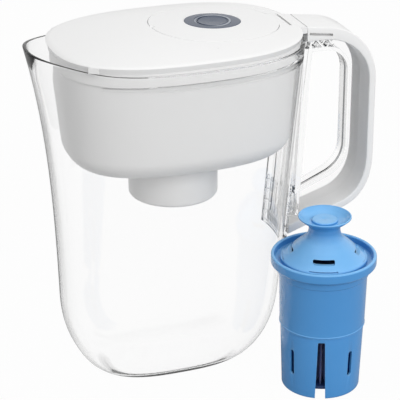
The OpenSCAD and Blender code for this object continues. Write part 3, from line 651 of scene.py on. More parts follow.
def make_finishes():
    GROUPS["moulded_skin"] = moulded_skin_group()
    GROUPS["edge_wear_and_light"] = edge_wear_and_light_group()
    GROUPS["settled_dust"] = settled_dust_group()
    # The third tone of each plastic is its paler edge: rubbed wear, and a painted highlight as well.
    white = ((0.83, 0.83, 0.828), (0.815, 0.815, 0.813), (0.88, 0.88, 0.88))
    slate = ((0.038, 0.058, 0.105), (0.034, 0.052, 0.095), (0.12, 0.15, 0.21))
    button = ((0.048, 0.068, 0.115), (0.043, 0.062, 0.105), (0.2, 0.23, 0.29))
    dark_blue = ((0.01, 0.035, 0.12), (0.008, 0.03, 0.1), (0.04, 0.08, 0.2))
    rubber = ((0.055, 0.055, 0.057), (0.04, 0.04, 0.042), (0.12, 0.12, 0.12))
    glossy = {"specular_ior_level": 0.4}
    return {
        # The clear plastics' edge colours are painted dark reflections, and edge_shade paints shade along the
        # handle's edges.
        "clear_jug": clear_finish("clear_jug_plastic", 0.997, (0.004, 0.004, 0.005), 0.6, 0.7, ior=1.38),
        "clear_handle": clear_finish("clear_handle_plastic", 0.98, grey(0.3), 0.36, 0.5, edge_shade=0.45),
        "white_lid": moulded_finish("white_lid_plastic", white, 0.26, 0.36),
        "white_tank": moulded_finish("white_tank_plastic", white, 0.32, 0.42),
        "white_strap": moulded_finish("white_strap_plastic", white, 0.28, 0.38),
        "slate": moulded_finish("slate_plastic", slate, 0.1, 0.17, 0.08, 0.00001, **glossy),
        "slate_light": moulded_finish("slate_button_plastic", button, 0.2, 0.3, 0.2, 0.00002, **glossy),
        "light_guide": milky_finish("milky_light_guide", (0.3, 0.33, 0.38), (0.25, 0.28, 0.33)),
        "sky_blue": filter_finish(),
        "dark_blue": moulded_finish("dark_blue_plastic", dark_blue, 0.4, 0.55),
        "felt": felt_finish(),
        "rubber": moulded_finish("seal_rubber", rubber, 0.6, 0.8),
        "board": board_finish(),
        "steel": metal_finish("plain_steel", (0.66, 0.66, 0.67), (0.5, 0.5, 0.52), 0.25, 0.42, (1, 12, 1)),
        "brass": metal_finish("spring_brass", (0.76, 0.58, 0.3), (0.6, 0.44, 0.2), 0.22, 0.38, (1, 14, 1)),
        "led": milky_finish("diode_resin", (0.85, 0.9, 0.75), (0.75, 0.82, 0.6)),
    }


NODE_FINISHES = {
    "clear_jug": ("jug_body",),
    "clear_handle": ("handle_frame",),
    "white_strap": ("handle_cover",),
    "white_tank": ("tank",),
    "white_lid": ("lid", "flip_door"),
    "slate": ("indicator_housing", "back_cover"),
    "slate_light": ("reset_button",),
    "light_guide": ("light_ring",),
    "sky_blue": ("cartridge_housing", "cartridge_basket", "cartridge_cap"),
    "dark_blue": ("upper_end_cap", "lower_end_cap"),
    "felt": ("pleated_filter", "core_tube"),
    "rubber": ("back_seal",),
    "board": ("circuit_board",),
    "steel": ("dome_switch", "coin_cell", "cover_screws"),
    "brass": ("battery_clip",),
    "led": ("status_leds",),
}


def dress_nodes(finishes):
    """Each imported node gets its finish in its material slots."""
    for finish, nodes in NODE_FINISHES.items():
        for name in nodes:
            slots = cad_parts[name].data.materials
            for k in range(len(slots)):
                slots[k] = finishes[finish]
            if not len(slots):
                slots.append(finishes[finish])


# ---- the jug ----
def foot_in(z):
    """How far the rounded foot draws in at a height, from 1 at the floor to 0."""
    u = max(0.0, (FOOT_ROUND_H - z) / FOOT_ROUND_H)
    return 1 - (1 - u**FOOT_SQUARE) ** (1 / FOOT_SQUARE)


def jug_point(t, z, inset):
    """A point of the jug's wall at a turn and a height, let in from its outside."""
    share = z / JUG_H
    square = mix(*SQUARE, share)
    half_l = mix(JUG_LOW[0], JUG_TOP[0], share) / 2 - FOOT_INSET[0] * foot_in(z) - inset
    half_w = mix(JUG_LOW[1], JUG_TOP[1], share) / 2 - FOOT_INSET[1] * foot_in(z) - inset
    beak = SPOUT_REACH * max(share, 0) ** SPOUT_CURL * max(0.0, -math.cos(t)) ** SPOUT_PINCH
    x = mix(*LEAN, share) + half_l * spow(math.cos(t), 2 / square) - beak
    return (x, half_w * spow(math.sin(t), 2 / square), z)


def jug_ring(z, inset=0.0):
    return [jug_point(t, z, inset) for t in turns()]


def rim_height(t):
    """The rim's height, which rises to the spout."""
    return RIM_Z + SPOUT_RISE * max(0.0, -math.cos(t)) ** RISE_PINCH


def rim_ring(drop, inset):
    return [jug_point(t, rim_height(t) - drop, inset) for t in turns()]


def ledge_share(t):
    """How much of the ledge stands in the wall at a turn: none in the spout, and less beside it."""
    c = math.cos(t)
    return max(LEDGE_LEAST, 1 - 2 * max(0.0, -0.2 - c)) if c > SPOUT_FROM else 0.0


def ledge_ring(z, out, start=JUG_WALL):
    return [jug_point(t, z, start + out * ledge_share(t)) for t in turns()]


def corner_heights(count, start=0.0):
    """Heights up the rounded lower corner, close together where it turns."""
    heights = [FOOT_ROUND_H * (1 - spow(math.cos(a), 2 / FOOT_SQUARE)) for a in quarter(count)]
    return [min(z, FOOT_ROUND_H) for z in heights if z > start]


def make_jug(finishes):
    ledge_z, ledge_h, ledge_foot = 249.7, 1.6, 5
    groove_z, groove_h, groove_d = 250.4, 3.6, 0.5
    walls = [mix(FOOT_ROUND_H, ledge_z - ledge_foot, k / 16) for k in range(1, 16)]
    edge_h, edge_w = 0.8, 0.56
    rounding = [(edge_h * (1 - math.sin(a)), edge_w * (1 - math.cos(a))) for a in quarter(4)]
    outer = [jug_ring(z) for z in [0, *corner_heights(26), *walls]]
    outer += [
        ledge_ring(groove_z - groove_h, 0, 0),
        ledge_ring(groove_z - groove_h + groove_d, groove_d, 0),
        ledge_ring(groove_z - groove_d, groove_d, 0),
        ledge_ring(groove_z, 0, 0),
    ]
    outer += [rim_ring(drop, inset) for drop, inset in rounding]
    inner = [rim_ring(drop, JUG_WALL - inset) for drop, inset in reversed(rounding)]
    inner += [
        ledge_ring(ledge_z + 0.2, 0),
        ledge_ring(ledge_z, 0.15),
        ledge_ring(ledge_z, LEDGE_W - 0.2),
        ledge_ring(ledge_z - 0.2, LEDGE_W),
        ledge_ring(ledge_z - ledge_h, LEDGE_W),
        ledge_ring(ledge_z - ledge_foot, 0),
    ]
    inner += [jug_ring(z, JUG_WALL) for z in reversed([*corner_heights(26, 8), *walls])]
    inner += [jug_ring(6, JUG_WALL + 0.25), jug_ring(5, JUG_WALL + 1.2), jug_ring(JUG_FLOOR, JUG_WALL + 3)]
    jug = rings_mesh("jug_shell", outer + inner)
    finish_piece(jug, "jug", finishes["clear_jug"], "jug_body")


# ---- the tank ----
BAND_HALF = (
    mix(JUG_LOW[0], JUG_TOP[0], FLANGE_Z / JUG_H) / 2 - JUG_WALL - TANK_GAP + TANK_REACH / 2,
    mix(JUG_LOW[1], JUG_TOP[1], FLANGE_Z / JUG_H) / 2 - JUG_WALL - TANK_GAP,
)
TANK_MID = mix(*LEAN, FLANGE_Z / JUG_H) - TANK_REACH / 2
TANK_SQUARE = mix(*SQUARE, FLANGE_Z / JUG_H)
BODY_IN = LEDGE_W + FIT


def band_ring(z, inset=0.0):
    return lift(oval(BAND_HALF[0] - inset, BAND_HALF[1] - inset, TANK_SQUARE, TANK_MID), z)


def tank_ring(z, inset):
    """The tank's body below its flange, tapered and rounded at its foot."""
    k = (FLANGE_Z - z) / (FLANGE_Z - TANK_Z)
    u = max(0.0, (TANK_ROUND - (z - TANK_Z)) / TANK_ROUND)
    r = TANK_ROUND * (1 - math.sqrt(max(0.0, 1 - u * u))) + TANK_TAPER * k + inset
    middle = TANK_MID - BODY_IN / 2 + TANK_LEAN * k
    return lift(oval(BAND_HALF[0] - BODY_IN / 2 - r, BAND_HALF[1] - BODY_IN - r, TANK_SQUARE, middle), z)


def line_ring(z, depth):
    """A ring of the tank's wall let in by depth, except round the spout."""
    ring = []
    for a, b, t in zip(tank_ring(z, 0), tank_ring(z, depth), turns()):
        share = min(1, ledge_share(t) * 1.5)
        ring.append((mix(a[0], b[0], share), mix(a[1], b[1], share), z))
    return ring


def make_tank(finishes):
    line_d, line_low, line_high = 0.9, 245.5, FLANGE_Z - 1.3
    walls = [205, 220, 235]
    corner = [TANK_ROUND * (1 - math.cos(a)) for a in quarter(14)]
    outer = [tank_ring(TANK_Z + h, 0) for h in corner]
    outer += [tank_ring(z, 0) for z in [*walls, line_low - 0.1]]
    for z in (line_low, line_high):
        outer += [line_ring(z + up, depth) for up, depth in ((0, 0), (0.1, line_d), (0.9, line_d), (1.0, 0))]
    outer += [band_ring(FLANGE_Z, 0.3), band_ring(FLANGE_Z + 0.3)]
    outer += [band_ring(RIM_Z - 0.4), band_ring(RIM_Z - 0.1, 0.12), band_ring(RIM_Z, 0.4)]
    inner = [band_ring(RIM_Z, TANK_WALL - 0.3), band_ring(RIM_Z - 0.3, TANK_WALL)]
    inner += [band_ring(FLANGE_Z + 2, TANK_WALL), tank_ring(FLANGE_Z - 0.5, TANK_WALL)]
    inner += [tank_ring(z, TANK_WALL) for z in reversed(walls)]
    inner += [tank_ring(TANK_Z + h, TANK_WALL) for h in reversed(corner) if h > TANK_FLOOR + 1]
    inner += [tank_ring(TANK_Z + TANK_FLOOR, TANK_WALL + 1.2)]
    tank = rings_mesh("tank_shell", outer + inner)
    cup_r = CUP_BORE_R + CUP_WALL
    round_r = 3
    low, floor_z = TANK_Z - CUP_DEPTH, TANK_Z + TANK_FLOOR
    profile = [(CUP_BORE_R - 2, low)]
    profile += [
        (cup_r - round_r + round_r * math.cos(a), low + round_r + round_r * math.sin(a))
        for a in (math.radians(-90 + 9 * k) for k in range(11))
    ]
    bead = ((0, 5.2), (0.5, 5), (0.5, 3.8), (0, 3.6))
    root = ((0, 1.6), (0.3, 0.7))
    profile += [(cup_r + out, TANK_Z - down) for out, down in bead + root]
    profile += [(cup_r + 0.9, floor_z - 0.5), (CUP_BORE_R - 2, floor_z - 0.5)]
    join(tank, lathe("cup", profile, (CUP_X, 0)))
    bore = [(CUP_BORE_R, low - 1), (CUP_BORE_R, floor_z + 1)]
    cut(tank, lathe("bore", bore, (CUP_X, 0), closed=False))
    finish_piece(tank, "tank", finishes["white_tank"], "tank")


# ---- the lid ----
def lid_outline(inset=0.0):
    return oval(LID_HALF[0] - inset, LID_HALF[1] - inset, LID_SQUARE)


def door_outline(out=0.0):
    return oval(DOOR_HALF[0] + out, DOOR_HALF[1] + out, DOOR_SQUARE, DOOR_X)


def bezel_outline(out=0.0):
    return oval(IND_HALF[0] + out, IND_HALF[1] + out, 2, IND_X)


def dial_outline(radius):
    return oval(radius, radius, 2, IND_X)


def crown_at(x, y):
    """Height of the lid's skin over a point, with the rounding at its edge."""
    share = ((abs(x) / LID_HALF[0]) ** LID_SQUARE + (abs(y) / LID_HALF[1]) ** LID_SQUARE) ** (1 / LID_SQUARE)
    share = min(share, 1.0)
    drop = LID_EDGE_DROP * max(0.0, (share - LID_EDGE_FROM) / (1 - LID_EDGE_FROM)) ** 2
    return LID_EDGE_Z + LID_STEP + LID_CROWN * (1 - share**LID_ARCH) - drop


def under_crown(depth):
    """The height of a line this deep below the crown, for lift."""
    return lambda x, y: crown_at(x, y) - depth


def crown_normal(x, y):
    """The way that the crown faces over a point."""
    step = 0.05
    dx = (crown_at(x + step, y) - crown_at(x - step, y)) / (2 * step)
    dy = (crown_at(x, y + step) - crown_at(x, y - step)) / (2 * step)
    return Vector((-dx, -dy, 1)).normalized()


def plug_ring(name, z0, z1, wide):
    """A collar that fits in the top of the tank."""
    half = [h - TANK_WALL - FIT for h in BAND_HALF]
    outside = oval(half[0] + wide / 2, half[1] + wide / 2, TANK_SQUARE, TANK_MID)
    inside = oval(half[0] - LID_WALL, half[1] - LID_WALL, TANK_SQUARE, TANK_MID)
    rings = [lift(outside, z0), lift(outside, z1), lift(inside, z1), lift(inside, z0)]
    return rings_mesh(name, rings, closed=True)


def spread(first, last, shares, height):
    """Rings over the skin from one outline to another."""
    return [lift(between(first, last, s), height) for s in shares]


def keep_crown_smooth(piece):
    """Gives the corners that lie on the crown its own true normals, so that cuts don't dimple it."""
    near, alike = 0.02, 0.97
    mesh = piece.data
    normals = [Vector(n.vector) for n in mesh.corner_normals]
    for face in mesh.polygons:
        for k in face.loop_indices:
            p = mesh.vertices[mesh.loops[k].vertex_index].co / MM
            if abs(p.z - crown_at(p.x, p.y)) < near:
                true = crown_normal(p.x, p.y)
                if face.normal.dot(true) > alike:
                    normals[k] = true
    mesh.normals_split_custom_set([tuple(n) for n in normals])


def make_lid(finishes):
    recess = door_outline(DOOR_GAP)
    opening = oval(DOOR_HALF[0] - SILL_W, DOOR_HALF[1] - SILL_W, DOOR_SQUARE, DOOR_X - 1)
    seat_out = door_outline(DOOR_GAP + 2)
    shares = [0, 0.004, 0.01, 0.02, 0.035, 0.055, 0.08] + [0.08 + 0.92 * k / 24 for k in range(1, 25)]
    sill_z = DOOR_SEAT_Z - FIT
    side = [
        lift(lid_outline(LID_SIDE_IN + 0.3), LID_LOW_Z),
        lift(lid_outline(LID_SIDE_IN), LID_LOW_Z + 0.3),
        lift(lid_outline(1.15), LID_LOW_Z + 2.9),
        lift(lid_outline(0.3), LID_EDGE_Z - 1.6),
        lift(lid_outline(0.08), LID_EDGE_Z - 1.1),
    ]
    top = spread(lid_outline(), door_outline(DOOR_GAP + 0.3), shares, crown_at)
    seat_walls = [
        lift(door_outline(DOOR_GAP + 0.09), under_crown(0.09)),
        lift(recess, under_crown(0.3)),
        lift(recess, sill_z),
        lift(opening, sill_z),
        lift(opening, sill_z - SILL_T),
        lift(seat_out, sill_z - SILL_T),
        lift(seat_out, under_crown(LID_WALL)),
    ]
    underside = spread(seat_out, lid_outline(LID_WALL), [k / 12 for k in range(1, 13)], under_crown(LID_WALL))
    underside += [lift(lid_outline(LID_SIDE_IN + LID_WALL), LID_LOW_Z)]
    lid = rings_mesh("lid_shell", side + top + seat_walls + underside, closed=True)
    half = HINGE_HALF + FIT
    block_low = (HINGE_X - HINGE_BLOCK[0], -half - EAR_W, LID_LOW_Z)
    hinge_block = block("hinge_block", block_low, (HINGE_X + HINGE_BLOCK[1], half + EAR_W, LID_EDGE_Z))
    tongue_x = STRAP_X - FIT
    tongue_side = [
        (HINGE_X + 4, LID_LOW_Z + 0.6),
        (tongue_x, LID_LOW_Z + 1.2),
        (tongue_x, STRAP_TOP_Z - 0.5),
        (tongue_x - 0.5, STRAP_TOP_Z),
        (HINGE_X + 8, STRAP_TOP_Z + 0.6),
        (HINGE_X + 4, STRAP_TOP_Z + 0.6),
    ]
    tongue = prism_across("tongue", tongue_side, -TONGUE_HALF, TONGUE_HALF)
    stop_t = math.radians(STOP_TURN)
    stop_low = rim_height(stop_t) + 0.4
    stop_at = jug_point(stop_t, stop_low, 0.4)
    stop_high = (5, STOP_W / 2, LID_EDGE_Z - 0.8 - stop_low)
    stops = []
    for hand, s in (("left", 1), ("right", -1)):
        place, turn = (stop_at[0], s * stop_at[1], stop_low), math.radians(-s * STOP_LEAN)
        stops.append(block(f"stop_{hand}", (0, -STOP_W / 2, 0), stop_high, place, turn))
    plug = plug_ring("plug", LID_LOW_Z - LID_PLUG, LID_LOW_Z + 2, 0)
    shoulder = plug_ring("shoulder", LID_LOW_Z, LID_LOW_Z + 1.6, LID_WALL + 4)
    join(lid, plug, shoulder, hinge_block, tongue, *stops)
    pocket_low = (HINGE_X - POCKET_IN, -half, HINGE_Z - BARREL_R - FIT)
    pocket = block("pocket", pocket_low, (HINGE_X + POCKET_OUT, half, LID_EDGE_Z + 14))
    ears = ((half - 0.5, half + EAR_W + 1), (-half - EAR_W - 1, -half + 0.5))
    bores = [
        rod_across(f"bore_{k}", HINGE_X, HINGE_Z, HINGE_PIN_R + PIN_FIT, low, high)
        for k, (low, high) in enumerate(ears)
    ]
    cut(lid, pocket, *bores)
    finish_piece(lid, "lid", finishes["white_lid"], "lid")
    keep_crown_smooth(lid)


# ---- the flip door ----
def make_door(finishes):
    edge = door_outline()
    foot_l, foot_w, foot_mid = DOOR_HALF[0] - DOOR_LEAN / 2, DOOR_HALF[1], DOOR_X - DOOR_LEAN / 2
    foot = oval(foot_l, foot_w, DOOR_SQUARE, foot_mid)
    foot_inside = oval(foot_l - DOOR_WALL, foot_w - DOOR_WALL, DOOR_SQUARE, foot_mid)
    seat, well, boss = bezel_outline(SEAT), dial_outline(WELL_R + SEAT), bezel_outline(2)
    seat_h = 1.8
    side = [
        lift(foot, DOOR_SEAT_Z),
        lift(foot, DOOR_SEAT_Z + 0.4),
        lift(edge, lambda x, y: min(267.5, crown_at(x, y) - 0.4)),
        lift(edge, under_crown(0.3)),
        lift(door_outline(-0.09), under_crown(0.09)),
    ]
    top = spread(door_outline(-0.3), bezel_outline(SEAT + 0.25), [k / 20 for k in range(21)], crown_at)
    seat_walls = [
        lift(bezel_outline(SEAT + 0.07), under_crown(0.07)),
        lift(seat, under_crown(0.25)),
        lift(seat, RING_SEAT_Z),
        lift(well, RING_SEAT_Z),
        lift(well, RING_SEAT_Z - seat_h),
        lift(boss, RING_SEAT_Z - seat_h),
        lift(boss, under_crown(DOOR_WALL)),
    ]
    shares = [k / 10 for k in range(1, 11)]
    underside = spread(boss, door_outline(-DOOR_WALL), shares, under_crown(DOOR_WALL))
    underside += [lift(foot_inside, DOOR_SEAT_Z)]
    door = rings_mesh("flip_door_shell", side + top + seat_walls + underside, closed=True)
    arm_x, arm_y = HINGE_X - 7.7, HINGE_HALF
    corners = [(arm_x, -arm_y), (HINGE_X, -arm_y), (HINGE_X, arm_y), (arm_x, arm_y)]
    arm = rings_mesh("hinge_arm", [lift(corners, HINGE_Z - 0.6), lift(corners, under_crown(0.02))])
    rib_from, rib_to = (IND_X + 21.1, -0.78, DOOR_SEAT_Z + 0.07), (HINGE_X - 6.1, 0.81, 266.57)
    ribs = [block(f"rib_{s}", rib_from, rib_to, (0, s * HINGE_HALF * 2 / 3, 0)) for s in (-1, 1)]
    barrel = rod_across("barrel", HINGE_X, HINGE_Z, BARREL_R, -HINGE_HALF, HINGE_HALF)
    pins = rod_across("pins", HINGE_X, HINGE_Z, HINGE_PIN_R, -HINGE_HALF - PIN_L, HINGE_HALF + PIN_L)
    join(door, arm, barrel, pins, *ribs)
    notch_r = 5
    cut(door, ball("notch", (DOOR_X - DOOR_HALF[0] + 0.07, 0.05, crown_at(9, 0) + 4), notch_r))
    finish_piece(door, "flip_door", finishes["white_lid"], "flip_door")
    keep_crown_smooth(door)


# ---- the indicator's bezel and well ----
def make_indicator(finishes):
    button_top = crown_at(IND_X + LENS_IN, 0) - 0.1
    groove = button_top - LENS_T - SEAT
    groove_out, groove_in = dial_outline(LENS_OUT + PIN_FIT), dial_outline(LENS_IN - PIN_FIT)
    button_hole, well_in, well = (dial_outline(r) for r in (BUTTON_R + PIN_FIT, WELL_R - WELL_WALL, WELL_R))
    rings = [
        lift(bezel_outline(), RING_SEAT_Z + SEAT),
        lift(bezel_outline(), under_crown(0.4)),
        lift(bezel_outline(-0.12), under_crown(0.12)),
    ]
    rings += spread(bezel_outline(-0.4), dial_outline(LENS_OUT + 0.2), [k / 8 for k in range(9)], crown_at)
    rings += [
        lift(groove_out, under_crown(0.15)),
        lift(groove_out, groove),
        lift(groove_in, groove),
        lift(groove_in, under_crown(0.15)),
        lift(dial_outline(LENS_IN - 0.2), crown_at),
        lift(dial_outline(BUTTON_R + 0.25), crown_at),
        lift(button_hole, under_crown(0.2)),
        lift(button_hole, RING_SEAT_Z + SEAT),
        lift(well_in, RING_SEAT_Z + SEAT),
        lift(well_in, WELL_LOW_Z),
        lift(well, WELL_LOW_Z),
        lift(well, RING_SEAT_Z + SEAT),
    ]
    housing = rings_mesh("indicator_bezel", rings, closed=True)
    finish_piece(housing, "flip_door", finishes["slate"], "indicator_housing")
    keep_crown_smooth(housing)


# ---- the handle's white strap ----
def bend(cx, cz, rx, rz, start, end, square=2.0, count=28):
    """An arc of an oval in X and Z, from one angle to another in degrees."""
    points = []
    for k in range(count + 1):
        a = math.radians(mix(start, end, k / count))
        points.append((cx + rx * spow(math.cos(a), 2 / square), cz + rz * spow(math.sin(a), 2 / square)))
    return points


def strap_sides():
    """The strap's outer and inner line, point by point from the lid to its end at the jug."""
    bend_z, bend_h = 216.5, 45.5
    low_z, low_h, square = 159, 48, 2.6
    turn, turn_in = 68.3, 70.1
    plate_t, plate_rib = 2.4, 1.6
    share = (STRAP_END_Z + STRAP_END_H) / JUG_H
    end_x = mix(*LEAN, share) + mix(JUG_LOW[0], JUG_TOP[0], share) / 2 + SEAT + plate_t + plate_rib + SEAT
    over_web = FIT + 0.15  # the strap comes in over the web's edge and hides it
    r = STRAP_BEND - STRAP_T - over_web
    outer = [(STRAP_X, STRAP_TOP_Z)]
    outer += bend(STRAP_CORNER_X, bend_z, STRAP_BEND, bend_h, 84, 0)
    outer += bend(STRAP_CORNER_X, low_z, STRAP_BEND, low_h, 0, -turn, square)
    outer += [(end_x, STRAP_END_Z)]
    inner = [(STRAP_X, STRAP_TOP_Z - STRAP_DEEP - over_web)]
    inner += bend(STRAP_CORNER_X, bend_z, r, STRAP_TOP_Z - STRAP_DEEP - bend_z - over_web, 90, 0)
    inner += bend(STRAP_CORNER_X, low_z, r, low_h - STRAP_T - over_web, 0, -turn_in, square)
    inner += [(end_x, STRAP_END_Z + STRAP_END_H + over_web)]
    return outer, inner


def make_strap(finishes):
    outer, inner = strap_sides()
    round_r = 1.1
    rings = []
    for (ox, oz), (ix, iz) in zip(outer, inner):
        depth = math.hypot(ox - ix, oz - iz)
        ux, uz = (ox - ix) / depth, (oz - iz) / depth
        ring = []
        for cy, cd, start in ((-1, 0, 180), (1, 0, 270), (1, 1, 0), (-1, 1, 90)):
            for k in range(5):
                a = math.radians(start + 90 * k / 4)
                y = cy * (STRAP_HALF - round_r) + round_r * math.cos(a)
                d = (depth - round_r if cd else round_r) + round_r * math.sin(a)
                ring.append((ix + ux * d, y, iz + uz * d))
        rings.append(ring)
    strap = rings_mesh("handle_strap", rings)
    face_outwards(strap)
    slit_l, slit_h, slit_d, tilt = 19, 2, 4, math.radians(8)
    near = (STRAP_X + 1.5, STRAP_TOP_Z - 6.8)
    far = (near[0] + slit_l * math.cos(tilt), near[1] - slit_l * math.sin(tilt))
    up = (slit_h * math.sin(tilt), slit_h * math.cos(tilt))
    slit = [near, far, (far[0] + up[0], far[1] + up[1]), (near[0] + up[0], near[1] + up[1])]
    sides = (-STRAP_HALF, STRAP_HALF)
    cut(strap, *[prism_across(f"slit_{k}", slit, y - slit_d, y + slit_d) for k, y in enumerate(sides)])
    finish_piece(strap, "jug", finishes["white_strap"], "handle_cover")


# ---- the filter cartridge ----
def cartridge_place():
    """Where the cartridge's axis meets the floor, out from the jug's wall."""
    near, far = (jug_point(math.radians(a), CART_TOP_Z, 0) for a in (-CART_PLACE, 1 - CART_PLACE))
    dx, dy = far[0] - near[0], far[1] - near[1]
    reach = (CART_RIM_R + CART_GAP) / math.hypot(dx, dy)
    return near[0] + dy * reach, near[1] - dx * reach


def rounded(profile, radius, steps=3):
    """A closed profile with its corners rounded off, less where an edge is short."""
    least_turn, most = 0.05, 0.45
    points = []
    for k, corner in enumerate(profile):
        before, after = Vector(profile[k - 1]), Vector(profile[(k + 1) % len(profile)])
        corner = Vector(corner)
        first, last = before - corner, after - corner
        turn = math.pi - first.angle(last, math.pi)
        if turn < least_turn:
            points.append(tuple(corner))
            continue
        reach = min(radius * math.tan(turn / 2), most * first.length, most * last.length)
        start, end = corner + first.normalized() * reach, corner + last.normalized() * reach
        for j in range(steps + 1):
            f = j / steps
            points.append(tuple((1 - f) ** 2 * start + 2 * f * (1 - f) * corner + f * f * end))
    return points


def smooth_line(points, count):
    """A flowing line through points, as Catmull and Rom draw it."""
    line = []
    ends = [points[0], *points, points[-1]]
    for k in range(len(points) - 1):
        a, b, c, d = (Vector(p) for p in ends[k : k + 4])
        for j in range(count):
            f = j / count
            square, cube = 2 * a - 5 * b + 4 * c - d, 3 * b - a - 3 * c + d
            line.append(tuple(0.5 * (2 * b + (c - a) * f + square * f * f + cube * f**3)))
    return line + [tuple(points[-1])]


def stand_beside(piece):
    """Brings a piece made round the upright axis to where the cartridge stands."""
    x, y = cartridge_place()
    turn = Matrix.Rotation(math.radians(CART_TURN), 4, "Z")
    piece.data.transform(Matrix.Translation((x * MM, y * MM, 0)) @ turn)


def soften(piece, width, angle):
    """Takes the sharpness off the edges that the cutters leave."""
    edge = piece.modifiers.new("edge", "BEVEL")
    edge.width = width * MM
    edge.segments = 2
    edge.limit_method = "ANGLE"
    edge.angle_limit = math.radians(angle)
    edge.use_clamp_overlap = True
    apply_steps(piece)


def make_filter_housing(finishes):
    dish_z = CART_TOP_Z - 5.5
    r, rim = CART_SHOULDER_R, CART_RIM_R
    foot = r - 1
    profile = [
        (foot - CART_WALL, CART_SEAM_Z),
        (foot - 0.2, CART_SEAM_Z),
        (foot + 0.35, CART_SEAM_Z + 0.35),
        (foot + 0.35, CART_SEAM_Z + 0.9),
        (foot + 0.02, CART_SEAM_Z + 1.5),
        (r, CART_SHOULDER_Z),
        (r + 1, CART_SHOULDER_Z + 0.8),
        (r + 1.4, dish_z - 5),
        (rim - 3, dish_z - 3.2),
        (rim - 0.8, dish_z - 2),
        (rim, dish_z - 1),
        (rim, CART_TOP_Z - 0.9),
        (rim - 0.6, CART_TOP_Z),
        (rim - 2.2, CART_TOP_Z),
        (rim - 2.7, CART_TOP_Z - 0.8),
        (rim - 3.0, dish_z + 1),
        (rim - 3.6, dish_z),
        (r - CART_WALL, dish_z),
        (r - CART_WALL, CART_SHOULDER_Z),
    ]
    housing = lathe("filter_housing", rounded(profile, 0.7), around=LATHE_ROUND)
    stand_beside(housing)
    finish_piece(housing, "cartridge", finishes["sky_blue"], "cartridge_housing")


def slot_cutter(name, outline, turn):
    """A cutter that runs out from near the axis, at a turn in degrees, from an outline across and up."""
    start, end = 12, 36
    c, s = math.cos(math.radians(turn)), math.sin(math.radians(turn))
    return prism(name, [(x * c + y * s, x * s - y * c, z) for y in (start, end) for x, z in outline])


def make_filter_basket(finishes):
    top_r = CART_SHOULDER_R - 1.6
    base = CART_BASE_R
    profile = [
        (base - CART_WALL - 0.6, 0.0),
        (base - 1.2, 0.0),
        (base - 0.3, 0.5),
        (base, 1.6),
        (top_r, CART_SEAM_Z - 0.1),
        (top_r - CART_WALL, CART_SEAM_Z - 0.1),
        (base - CART_WALL, 2.0),
    ]
    basket = lathe("filter_basket", rounded(profile, 0.8), around=LATHE_ROUND)
    high, wide, wider, nip = CART_SEAM_Z - 3.4, 5.2, 7.8, 0.6
    thin, thin_low, thin_h = 3.9, 16.4, 21
    thin_r, half_turn = thin / 2, [math.radians(9 * k) for k in range(21)]
    thin_slot = [(thin_r * math.cos(a), thin_low + thin_h - thin_r + thin_r * math.sin(a)) for a in half_turn]
    thin_slot += [(-thin_r * math.cos(a), thin_low + thin_r - thin_r * math.sin(a)) for a in half_turn]
    right = [(wider / 2, -1), (wide / 2, high - nip), (wide / 2 - nip, high)]
    left = [(-x, z) for x, z in right]
    wide_slot = [left[0], *right, left[2], left[1]]
    cutters = []
    for k in range(4):
        cutters.append(slot_cutter(f"wide_slot_{k}", wide_slot, 90 * k + SLOT_TURN))
        cutters.append(slot_cutter(f"thin_slot_{k}", thin_slot, 90 * k + 45 + SLOT_TURN))
    cut(basket, *cutters)
    soften(basket, 0.35, 40)
    stand_beside(basket)
    finish_piece(basket, "cartridge", finishes["sky_blue"], "cartridge_basket")


def make_filter_cap(finishes):
    foot_z, neck_z = CART_TOP_Z - 5.4, KNOB_Z - 9
    ring_r, neck_r, disc_r, wall = 32.4, 11.8, 9.6, 1.7
    ring = [(ring_r - 0.3, 0), (ring_r, 0.3), (ring_r, 2.9), (ring_r - 0.35, 3.5)]
    flank = [(31.2, 4.0), (28.6, 6.0), (24.6, 9.6), (21.0, 13.0), (17.2, 16.2), (14.2, 18.8), (12.6, 21.6)]
    flank = [(r, foot_z + z) for r, z in [*flank, (neck_r, 24.6)]]
    flank = smooth_line([*flank, (neck_r, neck_z + 0.4)], 5)
    under = [(neck_r + 0.1, neck_z + 1.2), (neck_r + 1.6, neck_z + 3.4)]
    edge = [(KNOB_R - 3.8, KNOB_Z - 4.2), (KNOB_R - 0.7, KNOB_Z - 1.5)]
    knob = smooth_line(under + edge, 4)
    lip = ((0, 0.9), (0.1, 0.3), (0.5, 0), (0.9, 0.1), (1.4, 0.7))
    knob += [(KNOB_R - x, KNOB_Z - z) for x, z in lip]
    dish = [(KNOB_R - 2.0, KNOB_Z - 1.2), (KNOB_R - 4.8, KNOB_Z - 3.4), (disc_r + 1.8, KNOB_Z - 5.0)]
    knob += smooth_line(dish, 4)
    disc = ((0.5, 5.0), (0.1, 4.6), (-0.1, 3.2), (-0.7, 2.75))
    knob += [(disc_r + x, KNOB_Z - z) for x, z in disc] + [(0.01, KNOB_Z - 2.7)]
    inside = [(0.01, neck_z - 4), (neck_r - 3, neck_z - 4)]
    inside += [(r - wall, z - 1.5) for r, z in reversed(flank[3:-12])]
    inside += [(ring_r - 3.2, foot_z + 2.2), (ring_r - 3.2, foot_z)]
    profile = [(r, foot_z + z) for r, z in ring] + flank + knob + inside
    cap = lathe("filter_cap", profile, around=LATHE_ROUND)
    inlet_half, inlet_h, inlet_z = 8.1, 3.1, foot_z + 7.4
    inlet = rounded([(-inlet_half, 0), (inlet_half, 0), (inlet_half, inlet_h), (-inlet_half, inlet_h)], 1.2)
    inlet = [(x, inlet_z + z) for x, z in inlet]
    slit_low, slit_high = (-10.6, -34, foot_z + 3.3), (10.6, -28.4, foot_z + 4.2)
    cutters = []
    for k in range(4):
        turn = 90 * k + SLOT_TURN
        cutters.append(slot_cutter(f"inlet_{k}", inlet, turn))
        cutters.append(block(f"foot_slit_{k}", slit_low, slit_high, (0, 0, 0), math.radians(turn)))
    cut(cap, *cutters)
    soften(cap, 0.25, 50)
    stand_beside(cap)
    finish_piece(cap, "cartridge", finishes["sky_blue"], "cartridge_cap")


